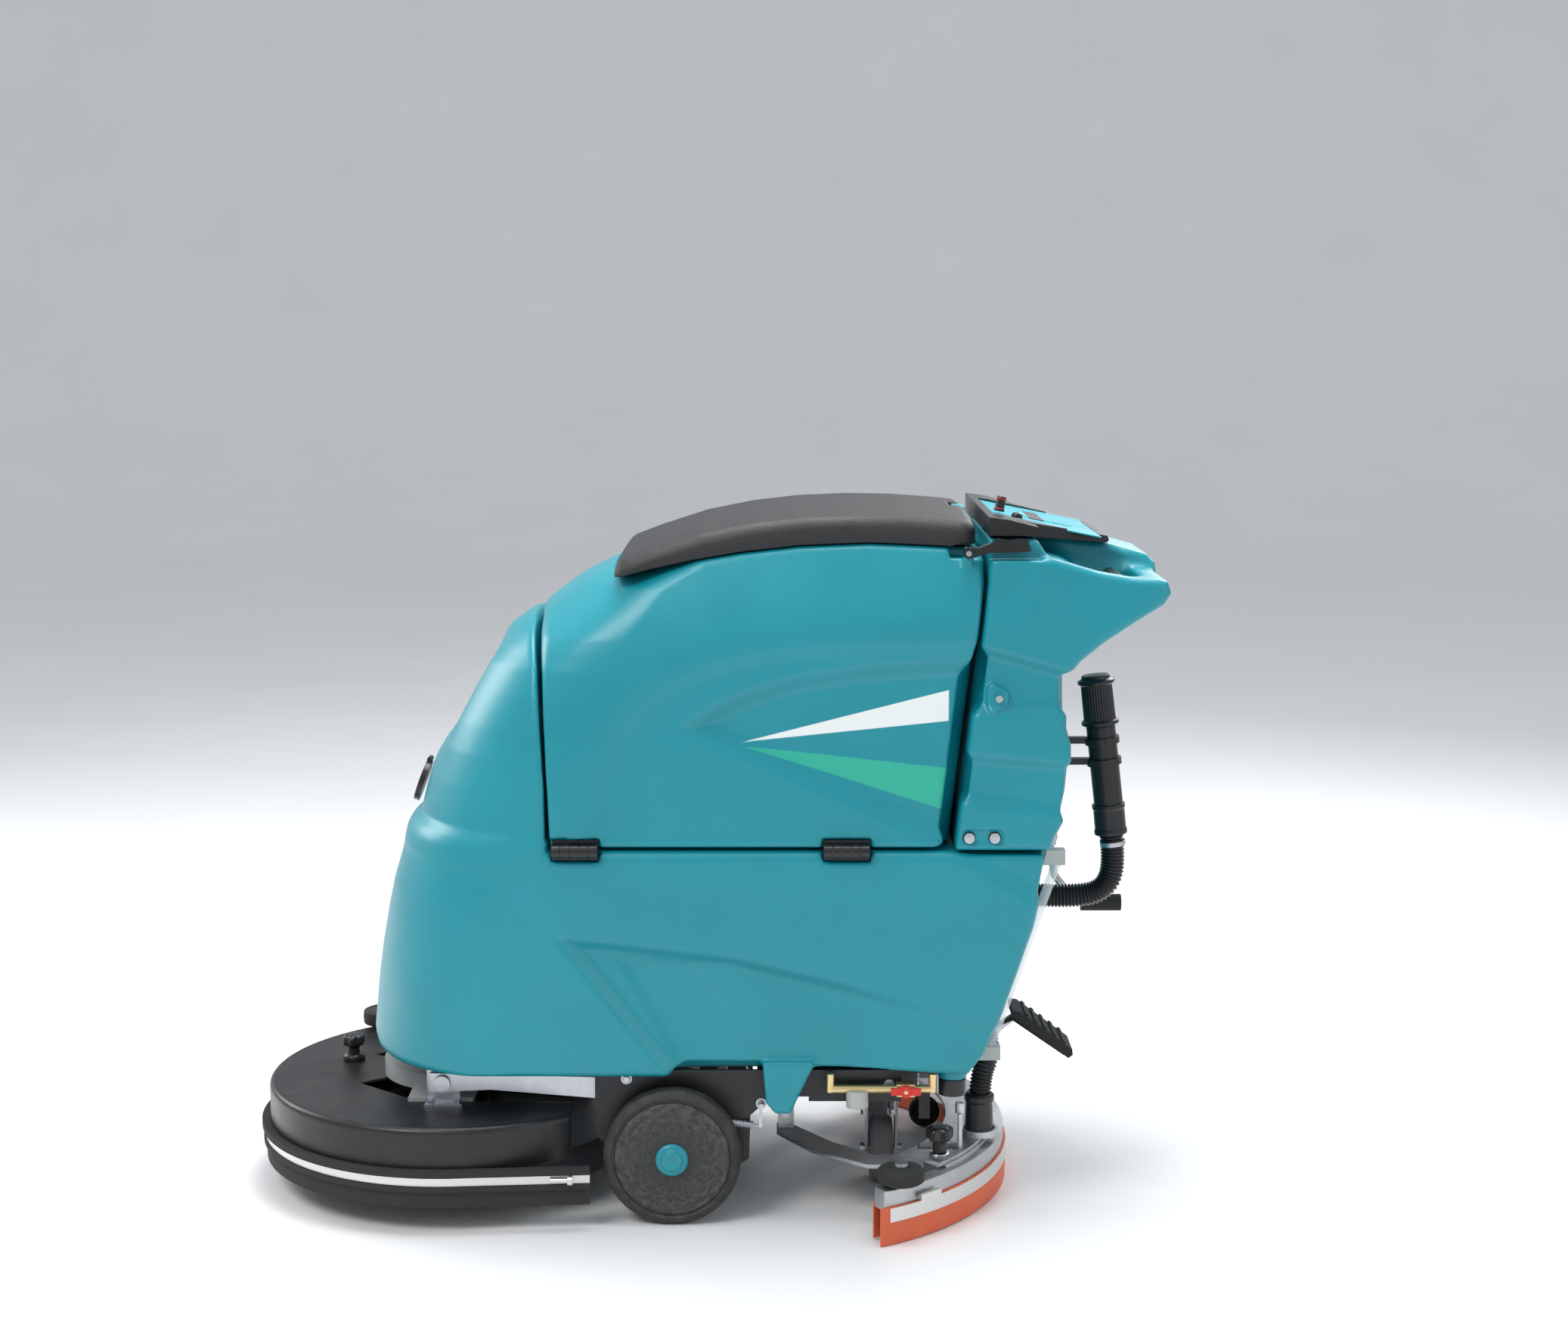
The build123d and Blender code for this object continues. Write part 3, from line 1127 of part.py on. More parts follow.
def valve_body():
    """Brass ball valve, pipe and tee under the tank's edge."""
    pipe = rod((192, VALVE_Y, VALVE_Z), (348, VALVE_Y, VALVE_Z), 6)
    body = block(292, 318, VALVE_Y - 9, VALVE_Y + 9, VALVE_Z - 9, VALVE_Z + 9)
    elbow = upright(196, VALVE_Y, VALVE_Z - 4, TANK_BOTTOM, 6)
    elbow = elbow + upright(344, VALVE_Y, VALVE_Z - 4, TANK_BOTTOM, 6)
    return pipe + body + elbow - upright(BOWL_X, VALVE_Y, VALVE_Z - 30, VALVE_Z - 1.4, 17)


def valve_handle():
    """Butterfly handle of the ball valve."""
    y = VALVE_Y - 9.4
    hub = across(HANDLE_X, y, y - 9, VALVE_Z, 8)
    wings = block(HANDLE_X - HANDLE_HALF, HANDLE_X + HANDLE_HALF, y - 7, y - 2, VALVE_Z - 5, VALVE_Z + 5)
    return hub + wings


def filter_bowl():
    """Clear strainer bowl."""
    return upright(BOWL_X, VALVE_Y, VALVE_Z - 26, VALVE_Z - 1.5, 16)


def drain_plug():
    """Screw cap under the tank's drain boss."""
    return upright(DRAIN_CAP_X, DRAIN_CAP_Y, TANK_BOTTOM - 36, TANK_BOTTOM - 12.3, 20)


def lift_link():
    """Plated link and hook on the squeegee carrier."""
    z = CARRIER_Z + CARRIER_THICK
    plate = block(386, 391, -192, -166, z, z + 52)
    spring = upright(388, -179, z + 51, z + 66, 7)
    return plate + spring


def filler_cap():
    """Flap over the fresh water filler in the prow's scoop."""
    x, z = FILLER_FACE_X, FILLER_Z
    cap = rod((x - 0.5, 0, z + 0.2), (x - 8.0, 0, z + 2.9), FILLER_R + 6)
    ear = side_plate([(x + 4, z + 20), (x + 9, z + 32), (x + 5, z + 36), (x - 3, z + 20)], -9, 9)
    barrel = across(FILLER_HINGE_X, -9, 9, FILLER_HINGE_Z, 4)
    return cap + ear + barrel - across(FILLER_HINGE_X, -10, 10, FILLER_HINGE_Z, FILLER_PIN_R + FIT_CLEAR)


def filler_hinge():
    """Two lugs on the prow with the pin that the filler flap turns on."""
    hinge = across(FILLER_HINGE_X, -14, 14, FILLER_HINGE_Z, FILLER_PIN_R)
    for side in (-1, 1):
        hinge = hinge + block(FILLER_HINGE_X - 3, FILLER_HINGE_X + 12, side * 9.6, side * 14,
                              FILLER_HINGE_Z - 1.8, FILLER_HINGE_Z + 4)
    return hinge


def batteries():
    """Two traction batteries side by side in the bay."""
    z0 = SEAM_Z - BAY_DEPTH
    x0 = BAY_FRONT_X + 12
    pair = []
    for side in (-1, 1):
        y0 = side * BATTERY_GAP / 2
        y1 = side * (BATTERY_GAP / 2 + BATTERY_WIDTH)
        pair.append(block(x0, x0 + BATTERY_LENGTH, min(y0, y1), max(y0, y1), z0, z0 + BATTERY_HEIGHT - 14))
    return pair[0] + pair[1]


def battery_terminals():
    """Lead posts on the batteries."""
    z0 = SEAM_Z - BAY_DEPTH + BATTERY_HEIGHT - 14
    posts = []
    for side in (-1, 1):
        for x in (BAY_FRONT_X + 40, BAY_FRONT_X + BATTERY_LENGTH - 20):
            posts.append(upright(x, side * (BATTERY_GAP / 2 + BATTERY_WIDTH / 2), z0, z0 + 12, 8))
    return posts[0] + posts[1] + posts[2] + posts[3]


# ---- write every sub-part ----------------------------------------------------------------
def pieces(*shapes):
    """Several separate solids kept together in one sub-part."""
    solids = []
    for shape in shapes:
        solids.extend(shape.solids())
    return Compound(solids)


def fixed_nodes():
    """Everything that stays with the frame."""
    return {
        "chassis_frame": chassis_frame(),
        "frame_hardware": pieces(pivot_pins(), lift_spring()),
        "drive_axle": pieces(drive_axle(), axle_bearings()),
        "drive_motor": drive_motor(),
        "lower_tank": lower_tank(),
        "batteries": pieces(batteries(), battery_terminals()),
        "tank_hinge_lower": hinge_half(True),
        "control_housing": control_housing(),
        "vacuum_motor": vacuum_motor(),
        "panel_bezel": panel_bezel(),
        "panel_plate": panel_plate(),
        "housing_screws": housing_screws(),
        "plastic_fittings": pieces(hose_clips(), drain_socket(), drain_plug()),
        "drain_hose": pieces(drain_tube(), drain_elbow()),
        "level_tube": level_tube(),
        "water_fittings": pieces(level_fittings(), filter_bowl()),
        "lever_brackets": pieces(lift_bracket(), pedal_bracket()),
        "valve_body": valve_body(),
    }


def tank_nodes():
    """The tilting recovery tank and its lid."""
    return {
        "tank_hinge_upper": hinge_half(False),
        "hinge_pins": pieces(hinge_pins(), lid_pin(), latch_pin()),
        "recovery_tank": recovery_tank(),
        "float_valve": pieces(float_cage(), float_ball()),
        "tank_lid": lid(),
        "lid_gasket": lid_gasket(),
    }


def control_nodes():
    """What the operator's hands and feet move."""
    return {
        "speed_knob": speed_knob(),
        "panel_button": panel_button(),
        "drive_lever": drive_lever(),
        "tank_latch": tank_latch(),
        "drain_cap": drain_cap(),
        "valve_handle": valve_handle(),
        "filler_cap": filler_cap(),
        "lift_lever": pieces(lift_lever(), lever_grip()),
        "deck_pedal": pieces(pedal_arm(), pedal_pad()),
    }


def deck_nodes():
    """The scrubbing deck on its lift arms."""
    return {
        "lift_frame": pieces(lift_frame(), deck_pivot_bolts()),
        "deck_plate": deck_plate(),
        "deck_skirt": deck_skirt(),
        "skirt_band": pieces(skirt_band(), skirt_clamps()),
        "deck_brackets": pieces(deck_brackets(), deck_roller_pin()),
        "brush_motor": brush_motor(),
        "pad_driver": pad_driver(),
        "brush_bristles": brush_bristles(),
        "deck_knob": deck_knob(),
        "deck_roller": deck_roller(),
    }


def squeegee_nodes():
    """The squeegee on its carrier."""
    return {
        "squeegee_carrier": squeegee_carrier(),
        "squeegee_body": squeegee_body(),
        "squeegee_blades": squeegee_blades(),
        "blade_straps": pieces(blade_straps(), blade_latch()),
        "squeegee_hardware": pieces(roller_bolts(), support_brackets(), lift_link()),
        "squeegee_knobs": pieces(squeegee_knob(-1), squeegee_knob(1)),
        "suction_hose": pieces(suction_cuff(), suction_hose()),
    }


def paired_nodes():
    """Wheels, casters and rollers, one of each per side."""
    nodes = {}
    for side, word in ((-1, "left"), (1, "right")):
        nodes[f"wheel_{word}"] = pieces(wheel_tyre(side), wheel_disc(side), wheel_cap(side))
        nodes[f"caster_fork_{word}"] = pieces(caster_fork(side * CASTER_Y), caster_nuts(side * CASTER_Y))
        nodes[f"caster_wheel_{word}"] = caster_wheel(side * CASTER_Y)
        nodes[f"squeegee_roller_{word}"] = squeegee_roller(side)
        nodes[f"support_wheel_{word}"] = support_wheel(side)
    return nodes


def main():
    os.makedirs("parts", exist_ok=True)
    groups = (fixed_nodes, tank_nodes, control_nodes, deck_nodes, squeegee_nodes, paired_nodes)
    for group in groups:
        for name, shape in group().items():
            export_step(shape, f"parts/{name}.step")


if __name__ == "__main__":
    main()
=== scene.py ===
import json
import math

import bmesh
import bpy
import numpy as np
from bpy.props import FloatProperty, FloatVectorProperty, IntProperty, PointerProperty
from mathutils import Matrix, Vector

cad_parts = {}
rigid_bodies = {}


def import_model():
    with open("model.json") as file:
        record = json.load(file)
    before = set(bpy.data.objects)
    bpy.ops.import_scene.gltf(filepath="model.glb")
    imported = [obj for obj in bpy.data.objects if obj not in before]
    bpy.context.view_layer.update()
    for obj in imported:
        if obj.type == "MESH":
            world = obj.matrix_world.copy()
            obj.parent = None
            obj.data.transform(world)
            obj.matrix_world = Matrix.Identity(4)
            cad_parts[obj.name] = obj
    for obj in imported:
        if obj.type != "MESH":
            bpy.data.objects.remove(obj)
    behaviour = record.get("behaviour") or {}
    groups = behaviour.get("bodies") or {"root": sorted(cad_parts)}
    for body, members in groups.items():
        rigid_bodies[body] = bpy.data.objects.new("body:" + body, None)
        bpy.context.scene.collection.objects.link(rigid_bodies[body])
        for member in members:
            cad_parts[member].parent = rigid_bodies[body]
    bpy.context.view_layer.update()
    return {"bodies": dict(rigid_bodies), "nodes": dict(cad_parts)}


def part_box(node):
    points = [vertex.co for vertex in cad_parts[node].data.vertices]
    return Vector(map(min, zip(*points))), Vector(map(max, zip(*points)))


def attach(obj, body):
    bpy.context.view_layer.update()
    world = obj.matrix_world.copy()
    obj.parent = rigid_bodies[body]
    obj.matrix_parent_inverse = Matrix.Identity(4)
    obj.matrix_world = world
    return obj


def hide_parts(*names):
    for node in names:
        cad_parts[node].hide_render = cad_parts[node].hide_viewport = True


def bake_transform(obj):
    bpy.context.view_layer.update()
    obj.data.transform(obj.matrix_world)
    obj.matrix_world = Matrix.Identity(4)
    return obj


bl_info = {
    "name": "Walk-behind floor scrubber",
    "version": (1, 0, 0),
    "blender": (4, 5, 0),
    "location": "View3D > Sidebar > Scrubber",
    "description": "Builds the tanks, deck, wheels, squeegee and fittings of a floor scrubber",
    "category": "Object",
}

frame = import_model()
MM = 0.001


# ---- places taken from the frame, in millimetres -------------------------------------------
def corners(node):
    """Lowest and highest corner of a frame node in millimetres."""
    low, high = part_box(node)
    return Vector(low) / MM, Vector(high) / MM


def middle(node):
    low, high = corners(node)
    return (low + high) / 2


TANK_LOW, TANK_HIGH = corners("lower_tank")
LID_LOW, LID_HIGH = corners("tank_lid")
HOUSING_LOW, HOUSING_HIGH = corners("control_housing")
WHEEL_MID = middle("wheel_left")
DECK_MID = middle("pad_driver")
BODY_HALF = 260.0
HOUSING_HALF = 258.0
LID_HALF = 226.0
DECK_RADIUS = 292.0
WHEEL_INNER_Y = 230.0
SQUEEGEE_CENTRE_X = 63.0
KNOB_RADIUS = 363.0
KNOB_ANGLE = math.radians(36)
BASE_FOOT = 218.0
SEAM = 550.0
SIDES = (("left", -1), ("right", 1))


# ---- what a user may change -----------------------------------------------------------------
def colour_property(label, default, note):
    return FloatVectorProperty(name=label, description=note, default=default, size=3, min=0, max=1,
                               subtype="COLOR")


class ScrubberColours(bpy.types.PropertyGroup):
    teal: colour_property("Tank", (0.002, 0.250, 0.310), "Moulded tanks and control housing")
    lid: colour_property("Lid", (0.026, 0.028, 0.031), "Recovery tank lid")
    black: colour_property("Black plastic", (0.011, 0.011, 0.012), "Moulded black parts and hoses")
    paint: colour_property("Deck paint", (0.007, 0.0075, 0.0085), "Powder coated deck and frame")
    blade: colour_property("Blade", (0.70, 0.115, 0.035), "Squeegee blades")
    red: colour_property("Red", (0.62, 0.020, 0.012), "Valve handle and knob rings")
    motor: colour_property("Motor", (0.36, 0.37, 0.37), "Enamel of the gearmotors")
    stripe: colour_property("Stripe", (0.80, 0.84, 0.84), "Pale stripe on the tank's sides")
    accent: colour_property("Accent", (0.020, 0.42, 0.30), "Second stripe on the tank's sides")
    floor: colour_property("Floor", (0.90, 0.90, 0.90), "Studio floor and backdrop")


class ScrubberSizes(bpy.types.PropertyGroup):
    tank_pitch: FloatProperty(name="Tank mesh", description="Mesh size of the tanks", default=0.0045,
                              min=0.003, max=0.02, unit="LENGTH")
    fine_pitch: FloatProperty(name="Fine mesh", description="Mesh size of lid, deck and housing",
                              default=0.0033, min=0.002, max=0.01, unit="LENGTH")
    hose_rib: FloatProperty(name="Hose rib", description="Distance from rib to rib of the hoses",
                            default=0.0052, min=0.003, max=0.02, unit="LENGTH")
    round_steps: IntProperty(name="Round steps", description="Steps round each turned part", default=72,
                             min=24, max=160)
    lens: FloatProperty(name="Lens", description="Focal length on a 36 mm sensor", default=57.28,
                        min=20, max=200)


def sizes():
    return bpy.context.scene.scrubber_sizes


def colours():
    return bpy.context.scene.scrubber_colours


# ---- shaping with distance fields -----------------------------------------------------------
def outline_distance(u, v, points):
    """Distance in a plane to a closed outline, negative inside it."""
    nearest = 1e12
    inside = False
    for (ax, ay), (bx, by) in zip(points, points[1:] + points[:1]):
        ex, ey = bx - ax, by - ay
        along = np.clip(((u - ax) * ex + (v - ay) * ey) / (ex * ex + ey * ey), 0, 1)
        nearest = np.minimum(nearest, (u - ax - ex * along) ** 2 + (v - ay - ey * along) ** 2)
        if ay != by:
            crossing = ((ay > v) != (by > v)) & (u < ex * (v - ay) / ey + ax)
            inside = inside ^ crossing
    return np.where(inside, -1.0, 1.0) * np.sqrt(nearest)


def meet(a, b, radius):
    """What two shapes share, with its edge rounded."""
    both = np.hypot(np.maximum(a + radius, 0), np.maximum(b + radius, 0))
    return np.minimum(np.maximum(a, b), -radius) + both


def join(a, b, radius):
    """Two shapes together, with a fillet where they meet."""
    both = np.hypot(np.maximum(radius - a, 0), np.maximum(radius - b, 0))
    return np.maximum(np.minimum(a, b), radius) - both


def cut(a, b, radius):
    """The first shape without the second, with a rounded edge."""
    return meet(a, -b, radius)


def ramp(value, low, high):
    """0 below low, 1 above high and smooth between."""
    t = np.clip((value - low) / (high - low), 0, 1)
    return t * t * (3 - 2 * t)


def slab(value, low, high):
    return np.maximum(low - value, value - high)


def brick(x, y, z, low, high, radius):
    """A box between two corners with rounded edges."""
    shape = meet(slab(x, low[0], high[0]), slab(y, low[1], high[1]), radius)
    return meet(shape, slab(z, low[2], high[2]), radius)


def cells_of(values):
    """Grid cells that the surface passes through, numbered, and the quads that join them."""
    inside = values < 0
    parts = [inside[i:inside.shape[0] - 1 + i, j:inside.shape[1] - 1 + j, k:inside.shape[2] - 1 + k]
             for i in (0, 1) for j in (0, 1) for k in (0, 1)]
    total = sum(part.astype(np.int8) for part in parts)
    crossed = (total > 0) & (total < 8)
    number = np.full(crossed.shape, -1, np.int32)
    number[crossed] = np.arange(int(crossed.sum()))
    quads = []
    for axis in range(3):
        order = (axis, (axis + 1) % 3, (axis + 2) % 3)
        turned = np.transpose(inside, order)
        cell = np.transpose(number, order)
        i, j, k = np.nonzero(turned[:-1, 1:-1, 1:-1] != turned[1:, 1:-1, 1:-1])
        quad = np.stack([cell[i, j, k], cell[i, j + 1, k], cell[i, j + 1, k + 1], cell[i, j, k + 1]], 1)
        back = ~turned[i, j + 1, k + 1]
        quad[back] = quad[back][:, ::-1]
        quads.append(quad)
    return np.argwhere(crossed), np.concatenate(quads)


def settle(points, field, reach):
    """Moves points onto the zero surface of the field."""
    step = 0.4
    for _ in range(3):
        x, y, z = points.T
        here = field(x, y, z)
        slope = np.stack([field(x + step, y, z) - here, field(x, y + step, z) - here,
                          field(x, y, z + step) - here], 1) / step
        size = np.maximum((slope ** 2).sum(1), 0.05)
        move = -(here / size)[:, None] * slope
        length = np.maximum(np.linalg.norm(move, axis=1), 1e-9)
        points = points + move * np.minimum(1, reach / length)[:, None]
    return points


def sculpt(name, field, low, high, pitch):
    """A closed quad mesh on the zero surface of a distance field given in millimetres."""
    pitch = pitch / MM
    axes = [np.arange(a - 2 * pitch, b + 3 * pitch, pitch) for a, b in zip(low, high)]
    values = field(*np.meshgrid(*axes, indexing="ij", sparse=True))
    values = np.broadcast_to(values, [len(a) for a in axes])
    cells, quads = cells_of(values)
    points = (cells + 0.5) * pitch + np.array([a[0] for a in axes])
    points = settle(points, field, pitch)
    ends = np.concatenate([quads[:, [i, (i + 1) % 4]] for i in range(4)])
    count = np.maximum(np.bincount(ends[:, 0], minlength=len(points)), 1)
    for _ in range(3):
        total = np.stack([np.bincount(ends[:, 0], points[ends[:, 1], i], len(points)) for i in range(3)],
                         1)
        points = settle(0.4 * points + 0.6 * total / count[:, None], field, pitch * 0.5)
    return add_mesh(name, points, quads.tolist())


# ---- shaping with rings, sweeps and plates --------------------------------------------------
def add_mesh(name, points, faces):
    """A smooth shaded mesh object from points in millimetres."""
    mesh = bpy.data.meshes.new(name)
    mesh.from_pydata([tuple(p) for p in np.asarray(points, float) * MM], [], faces)
    mesh.validate()
    mesh.shade_smooth()
    piece = bpy.data.objects.new(name, mesh)
    bpy.context.scene.collection.objects.link(piece)
    return piece


def basis(axis):
    """Two directions square to an axis, and the axis itself, as rows."""
    axis = Vector(axis).normalized()
    helper = Vector((0, 0, 1)) if abs(axis.z) < 0.9 else Vector((1, 0, 0))
    first = axis.cross(helper).normalized()
    return np.array([first, axis.cross(first), axis])


def loft(name, rings, closed_path=False):
    """Joins rings of equal length into a skin, capped unless the path is closed."""
    rings = np.asarray(rings, float)
    turns, steps = rings.shape[:2]
    faces = []
    for i in range(turns if closed_path else turns - 1):
        a, b = i * steps, (i + 1) % turns * steps
        for j in range(steps):
            k = (j + 1) % steps
            faces.append((a + j, a + k, b + k, b + j))
    if not closed_path:
        faces.append(tuple(reversed(range(steps))))
        faces.append(tuple(range((turns - 1) * steps, turns * steps)))
    return add_mesh(name, rings.reshape(-1, 3), faces)


def turned(name, centre, axis, profile, steps=None, flute=None):
    """A part turned on a lathe: profile holds (distance along the axis, radius) from end to end."""
    steps = steps or sizes().round_steps
    u, v, w = basis(axis)
    angle = np.arange(steps) * math.tau / steps
    circle = np.cos(angle)[:, None] * u + np.sin(angle)[:, None] * v
    rings = []
    for along, radius in profile:
        swell = 1.0 if flute is None else flute(angle, along)
        rings.append(np.array(centre) + w * along + circle * (radius * np.ones(steps) * swell)[:, None])
    return loft(name, rings)


def turned_ring(name, centre, axis, profile, steps=None):
    """A turned part with an open middle: its closed profile goes round the axis."""
    steps = steps or sizes().round_steps
    u, v, w = basis(axis)
    rings = []
    for i in range(steps):
        a = i * math.tau / steps
        out = math.cos(a) * u + math.sin(a) * v
        rings.append([np.array(centre) + w * along + out * radius for along, radius in profile])
    return loft(name, rings, closed_path=True)


def rounded(profile, radius, steps=4):
    """An open profile with its inner corners replaced by short curves."""
    points = [Vector(p) for p in profile]
    result = [tuple(points[0])]
    for before, here, after in zip(points, points[1:], points[2:]):
        reach = min(radius, (before - here).length * 0.45, (after - here).length * 0.45)
        start = here + (before - here).normalized() * reach
        end = here + (after - here).normalized() * reach
        for step in range(steps + 1):
            t = step / steps
            result.append(tuple(start.lerp(here, t).lerp(here.lerp(end, t), t)))
    result.append(tuple(points[-1]))
    return result


def rounded_loop(profile, radius, steps=4):
    """A closed profile with every corner rounded."""
    count = len(profile)
    result = []
    for i in range(count):
        trio = [profile[i - 1], profile[i], profile[(i + 1) % count]]
        result.extend(rounded(trio, radius, steps)[1:-1])
    return result


def smooth_path(points, spacing):
    """Evenly spaced points on a smooth line that starts and ends with the route."""
    curve = bpy.data.curves.new("route", "CURVE")
    curve.dimensions = "3D"
    curve.resolution_u = 24
    spline = curve.splines.new("NURBS")
    spline.points.add(len(points) - 1)
    for knot, point in zip(spline.points, points):
        knot.co = (*point, 1)
    spline.order_u = 3
    spline.use_endpoint_u = True
    holder = bpy.data.objects.new("route", curve)
    mesh = bpy.data.meshes.new_from_object(holder)
    line = np.array([v.co for v in mesh.vertices], float)
    bpy.data.objects.remove(holder)
    bpy.data.curves.remove(curve)
    bpy.data.meshes.remove(mesh)
    run = np.concatenate([[0], np.cumsum(np.linalg.norm(np.diff(line, axis=0), axis=1))])
    at = np.linspace(0, run[-1], max(2, round(run[-1] / spacing) + 1))
    return np.stack([np.interp(at, run, line[:, i]) for i in range(3)], 1), at


def tube(name, points, radius, spacing, steps=28):
    """A tube along a route. The radius may change along its length."""
    line, at = smooth_path(points, spacing)
    heading = np.gradient(line, axis=0)
    heading /= np.linalg.norm(heading, axis=1)[:, None]
    side = np.cross(heading[0], basis(heading[0])[0])
    angle = np.arange(steps) * math.tau / steps
    rings = []
    for point, forward, along in zip(line, heading, at):
        side = side - forward * side.dot(forward)
        side /= np.linalg.norm(side)
        other = np.cross(forward, side)
        size = radius(along) if callable(radius) else radius
        rings.append(point + size * (np.cos(angle)[:, None] * side + np.sin(angle)[:, None] * other))
    return loft(name, rings)


def corrugated(name, points, outer, inner):
    """A ribbed hose."""
    rib = sizes().hose_rib / MM

    def radius(along):
        wave = 0.5 + 0.5 * math.cos(math.tau * along / rib)
        return inner + (outer - inner) * wave ** 0.7

    return tube(name, points, radius, rib / 8, steps=40)


def coil(name, start, end, radius, wire, turns):
    """A wound spring between two points."""
    start, end = np.array(start, float), np.array(end, float)
    u, v, w = basis(end - start)
    length = np.linalg.norm(end - start)
    count = int(turns * 18)
    t = np.linspace(0, 1, count)
    a = t * turns * math.tau
    line = start + w * (t * length)[:, None] + radius * (np.cos(a)[:, None] * u + np.sin(a)[:, None] * v)
    heading = np.gradient(line, axis=0)
    heading /= np.linalg.norm(heading, axis=1)[:, None]
    rings = []
    ring_angle = np.arange(8) * math.tau / 8
    for point, forward, turn in zip(line, heading, a):
        out = math.cos(turn) * u + math.sin(turn) * v
        other = np.cross(forward, out)
        rings.append(point + wire * (np.cos(ring_angle)[:, None] * out + np.sin(ring_angle)[:, None] * other))
    return loft(name, rings)


def plate(name, outline, axis, start, thickness, edge=1.0):
    """A flat outline given thickness along Y or Z, with softened edges."""
    count = len(outline)
    rings = []
    for level in (start, start + thickness):
        if axis == "Y":
            rings.append([(a, level, b) for a, b in outline])
        else:
            rings.append([(a, b, level) for a, b in outline])
    points = [p for ring in rings for p in ring]
    faces = [tuple(range(count)), tuple(reversed(range(count, 2 * count)))]
    faces += [(i, i + count, (i + 1) % count + count, (i + 1) % count) for i in range(count)]
    piece = add_mesh(name, points, faces)
    fix_normals(piece)
    soften(piece, edge)
    return piece


def fix_normals(piece):
    work = bmesh.new()
    work.from_mesh(piece.data)
    bmesh.ops.recalc_face_normals(work, faces=work.faces)
    work.to_mesh(piece.data)
    work.free()


def soften(piece, width, angle=32.0):
    """Small rounded edges with normals that keep the flats flat."""
    bevel = piece.modifiers.new("edges", "BEVEL")
    bevel.width = width * MM
    bevel.segments = 2
    bevel.limit_method = "ANGLE"
    bevel.angle_limit = math.radians(angle)
    normals = piece.modifiers.new("normals", "WEIGHTED_NORMAL")
    normals.keep_sharp = True


def hexagon(name, centre, axis, across, height, washer=0.0):
    """A hexagon head or nut with turned corners, on a washer if one is given."""
    u, v, w = basis(axis)
    rings = []
    if washer:
        washer_piece = turned(name + "_washer", centre, axis,
                              rounded([(0, 0.1), (0, across * 0.82), (washer, across * 0.82),
                                       (washer, 0.1)], 0.4),
                              steps=32)
    point = across / math.sqrt(3)
    for along, scale in ((0, 1), (height * 0.82, 1), (height, 0.88)):
        ring = []
        for i in range(6):
            a = i * math.tau / 6
            out = math.cos(a) * u + math.sin(a) * v
            ring.append(np.array(centre) + w * (along + washer) + out * point * scale)
        rings.append(ring)
    head = loft(name, rings)
    soften(head, 0.35)
    return [head, washer_piece] if washer else [head]


def fluted_knob(name, centre, radius, height, lobes, depth):
    """A moulded knob with rounded lobes over a plain neck."""
    profile = rounded([(0, 0.1), (0, radius * 0.52), (height * 0.40, radius * 0.46),
                       (height * 0.52, radius * 0.97),
                       (height * 0.88, radius), (height, radius * 0.72), (height, 0.1)], 3.0, 5)

    def flute(angle, along):
        strength = depth * float(ramp(along, height * 0.38, height * 0.55))
        return 1 - strength * (0.5 - 0.5 * np.cos(lobes * angle)) ** 1.6

    return turned(name, centre, (0, 0, 1), profile, steps=lobes * 16, flute=flute)


# ---- materials ------------------------------------------------------------------------------
def group(name, inputs, outputs):
    """A new shader node group with its sockets and end nodes."""
    tree = bpy.data.node_groups.new(name, "ShaderNodeTree")
    for socket, kind, value in inputs:
        made = tree.interface.new_socket(socket, in_out="INPUT", socket_type=kind)
        made.default_value = value
    for socket, kind in outputs:
        tree.interface.new_socket(socket, in_out="OUTPUT", socket_type=kind)
    return tree, tree.nodes.new("NodeGroupInput"), tree.nodes.new("NodeGroupOutput")


def node(tree, kind, inputs=None, **settings):
    """A node with its settings and either values or links for its inputs."""
    made = tree.nodes.new(kind)
    for key, value in settings.items():
        setattr(made, key, value)
    for key, value in (inputs or {}).items():
        if isinstance(value, bpy.types.NodeSocket):
            tree.links.new(value, made.inputs[key])
        else:
            made.inputs[key].default_value = value
    return made


def maths(tree, operation, a, b=0.0, clamp=False):
    return node(tree, "ShaderNodeMath", {0: a, 1: b}, operation=operation, use_clamp=clamp).outputs[0]


def spread(tree, value, low, high, to_low=0.0, to_high=1.0):
    made = node(tree, "ShaderNodeMapRange", {"Value": value, "From Min": low, "From Max": high,
                                             "To Min": to_low, "To Max": to_high})
    return made.outputs["Result"]


def build_mottle():
    """Slow and quick variation from a noise in object space."""
    tree, start, end = group("mottle", [("Scale", "NodeSocketFloat", 6.0),
                                        ("Speckle", "NodeSocketFloat", 300.0)],
                             [("Cloud", "NodeSocketFloat"), ("Speck", "NodeSocketFloat")])
    place = node(tree, "ShaderNodeTexCoord").outputs["Object"]
    slow = node(tree, "ShaderNodeTexNoise", {"Vector": place, "Scale": start.outputs["Scale"],
                                             "Detail": 4.0})
    quick = node(tree, "ShaderNodeTexNoise", {"Vector": place, "Scale": start.outputs["Speckle"],
                                              "Detail": 2.0})
    tree.links.new(spread(tree, slow.outputs["Fac"], 0.32, 0.68), end.inputs["Cloud"])
    tree.links.new(spread(tree, quick.outputs["Fac"], 0.30, 0.70), end.inputs["Speck"])
    return tree


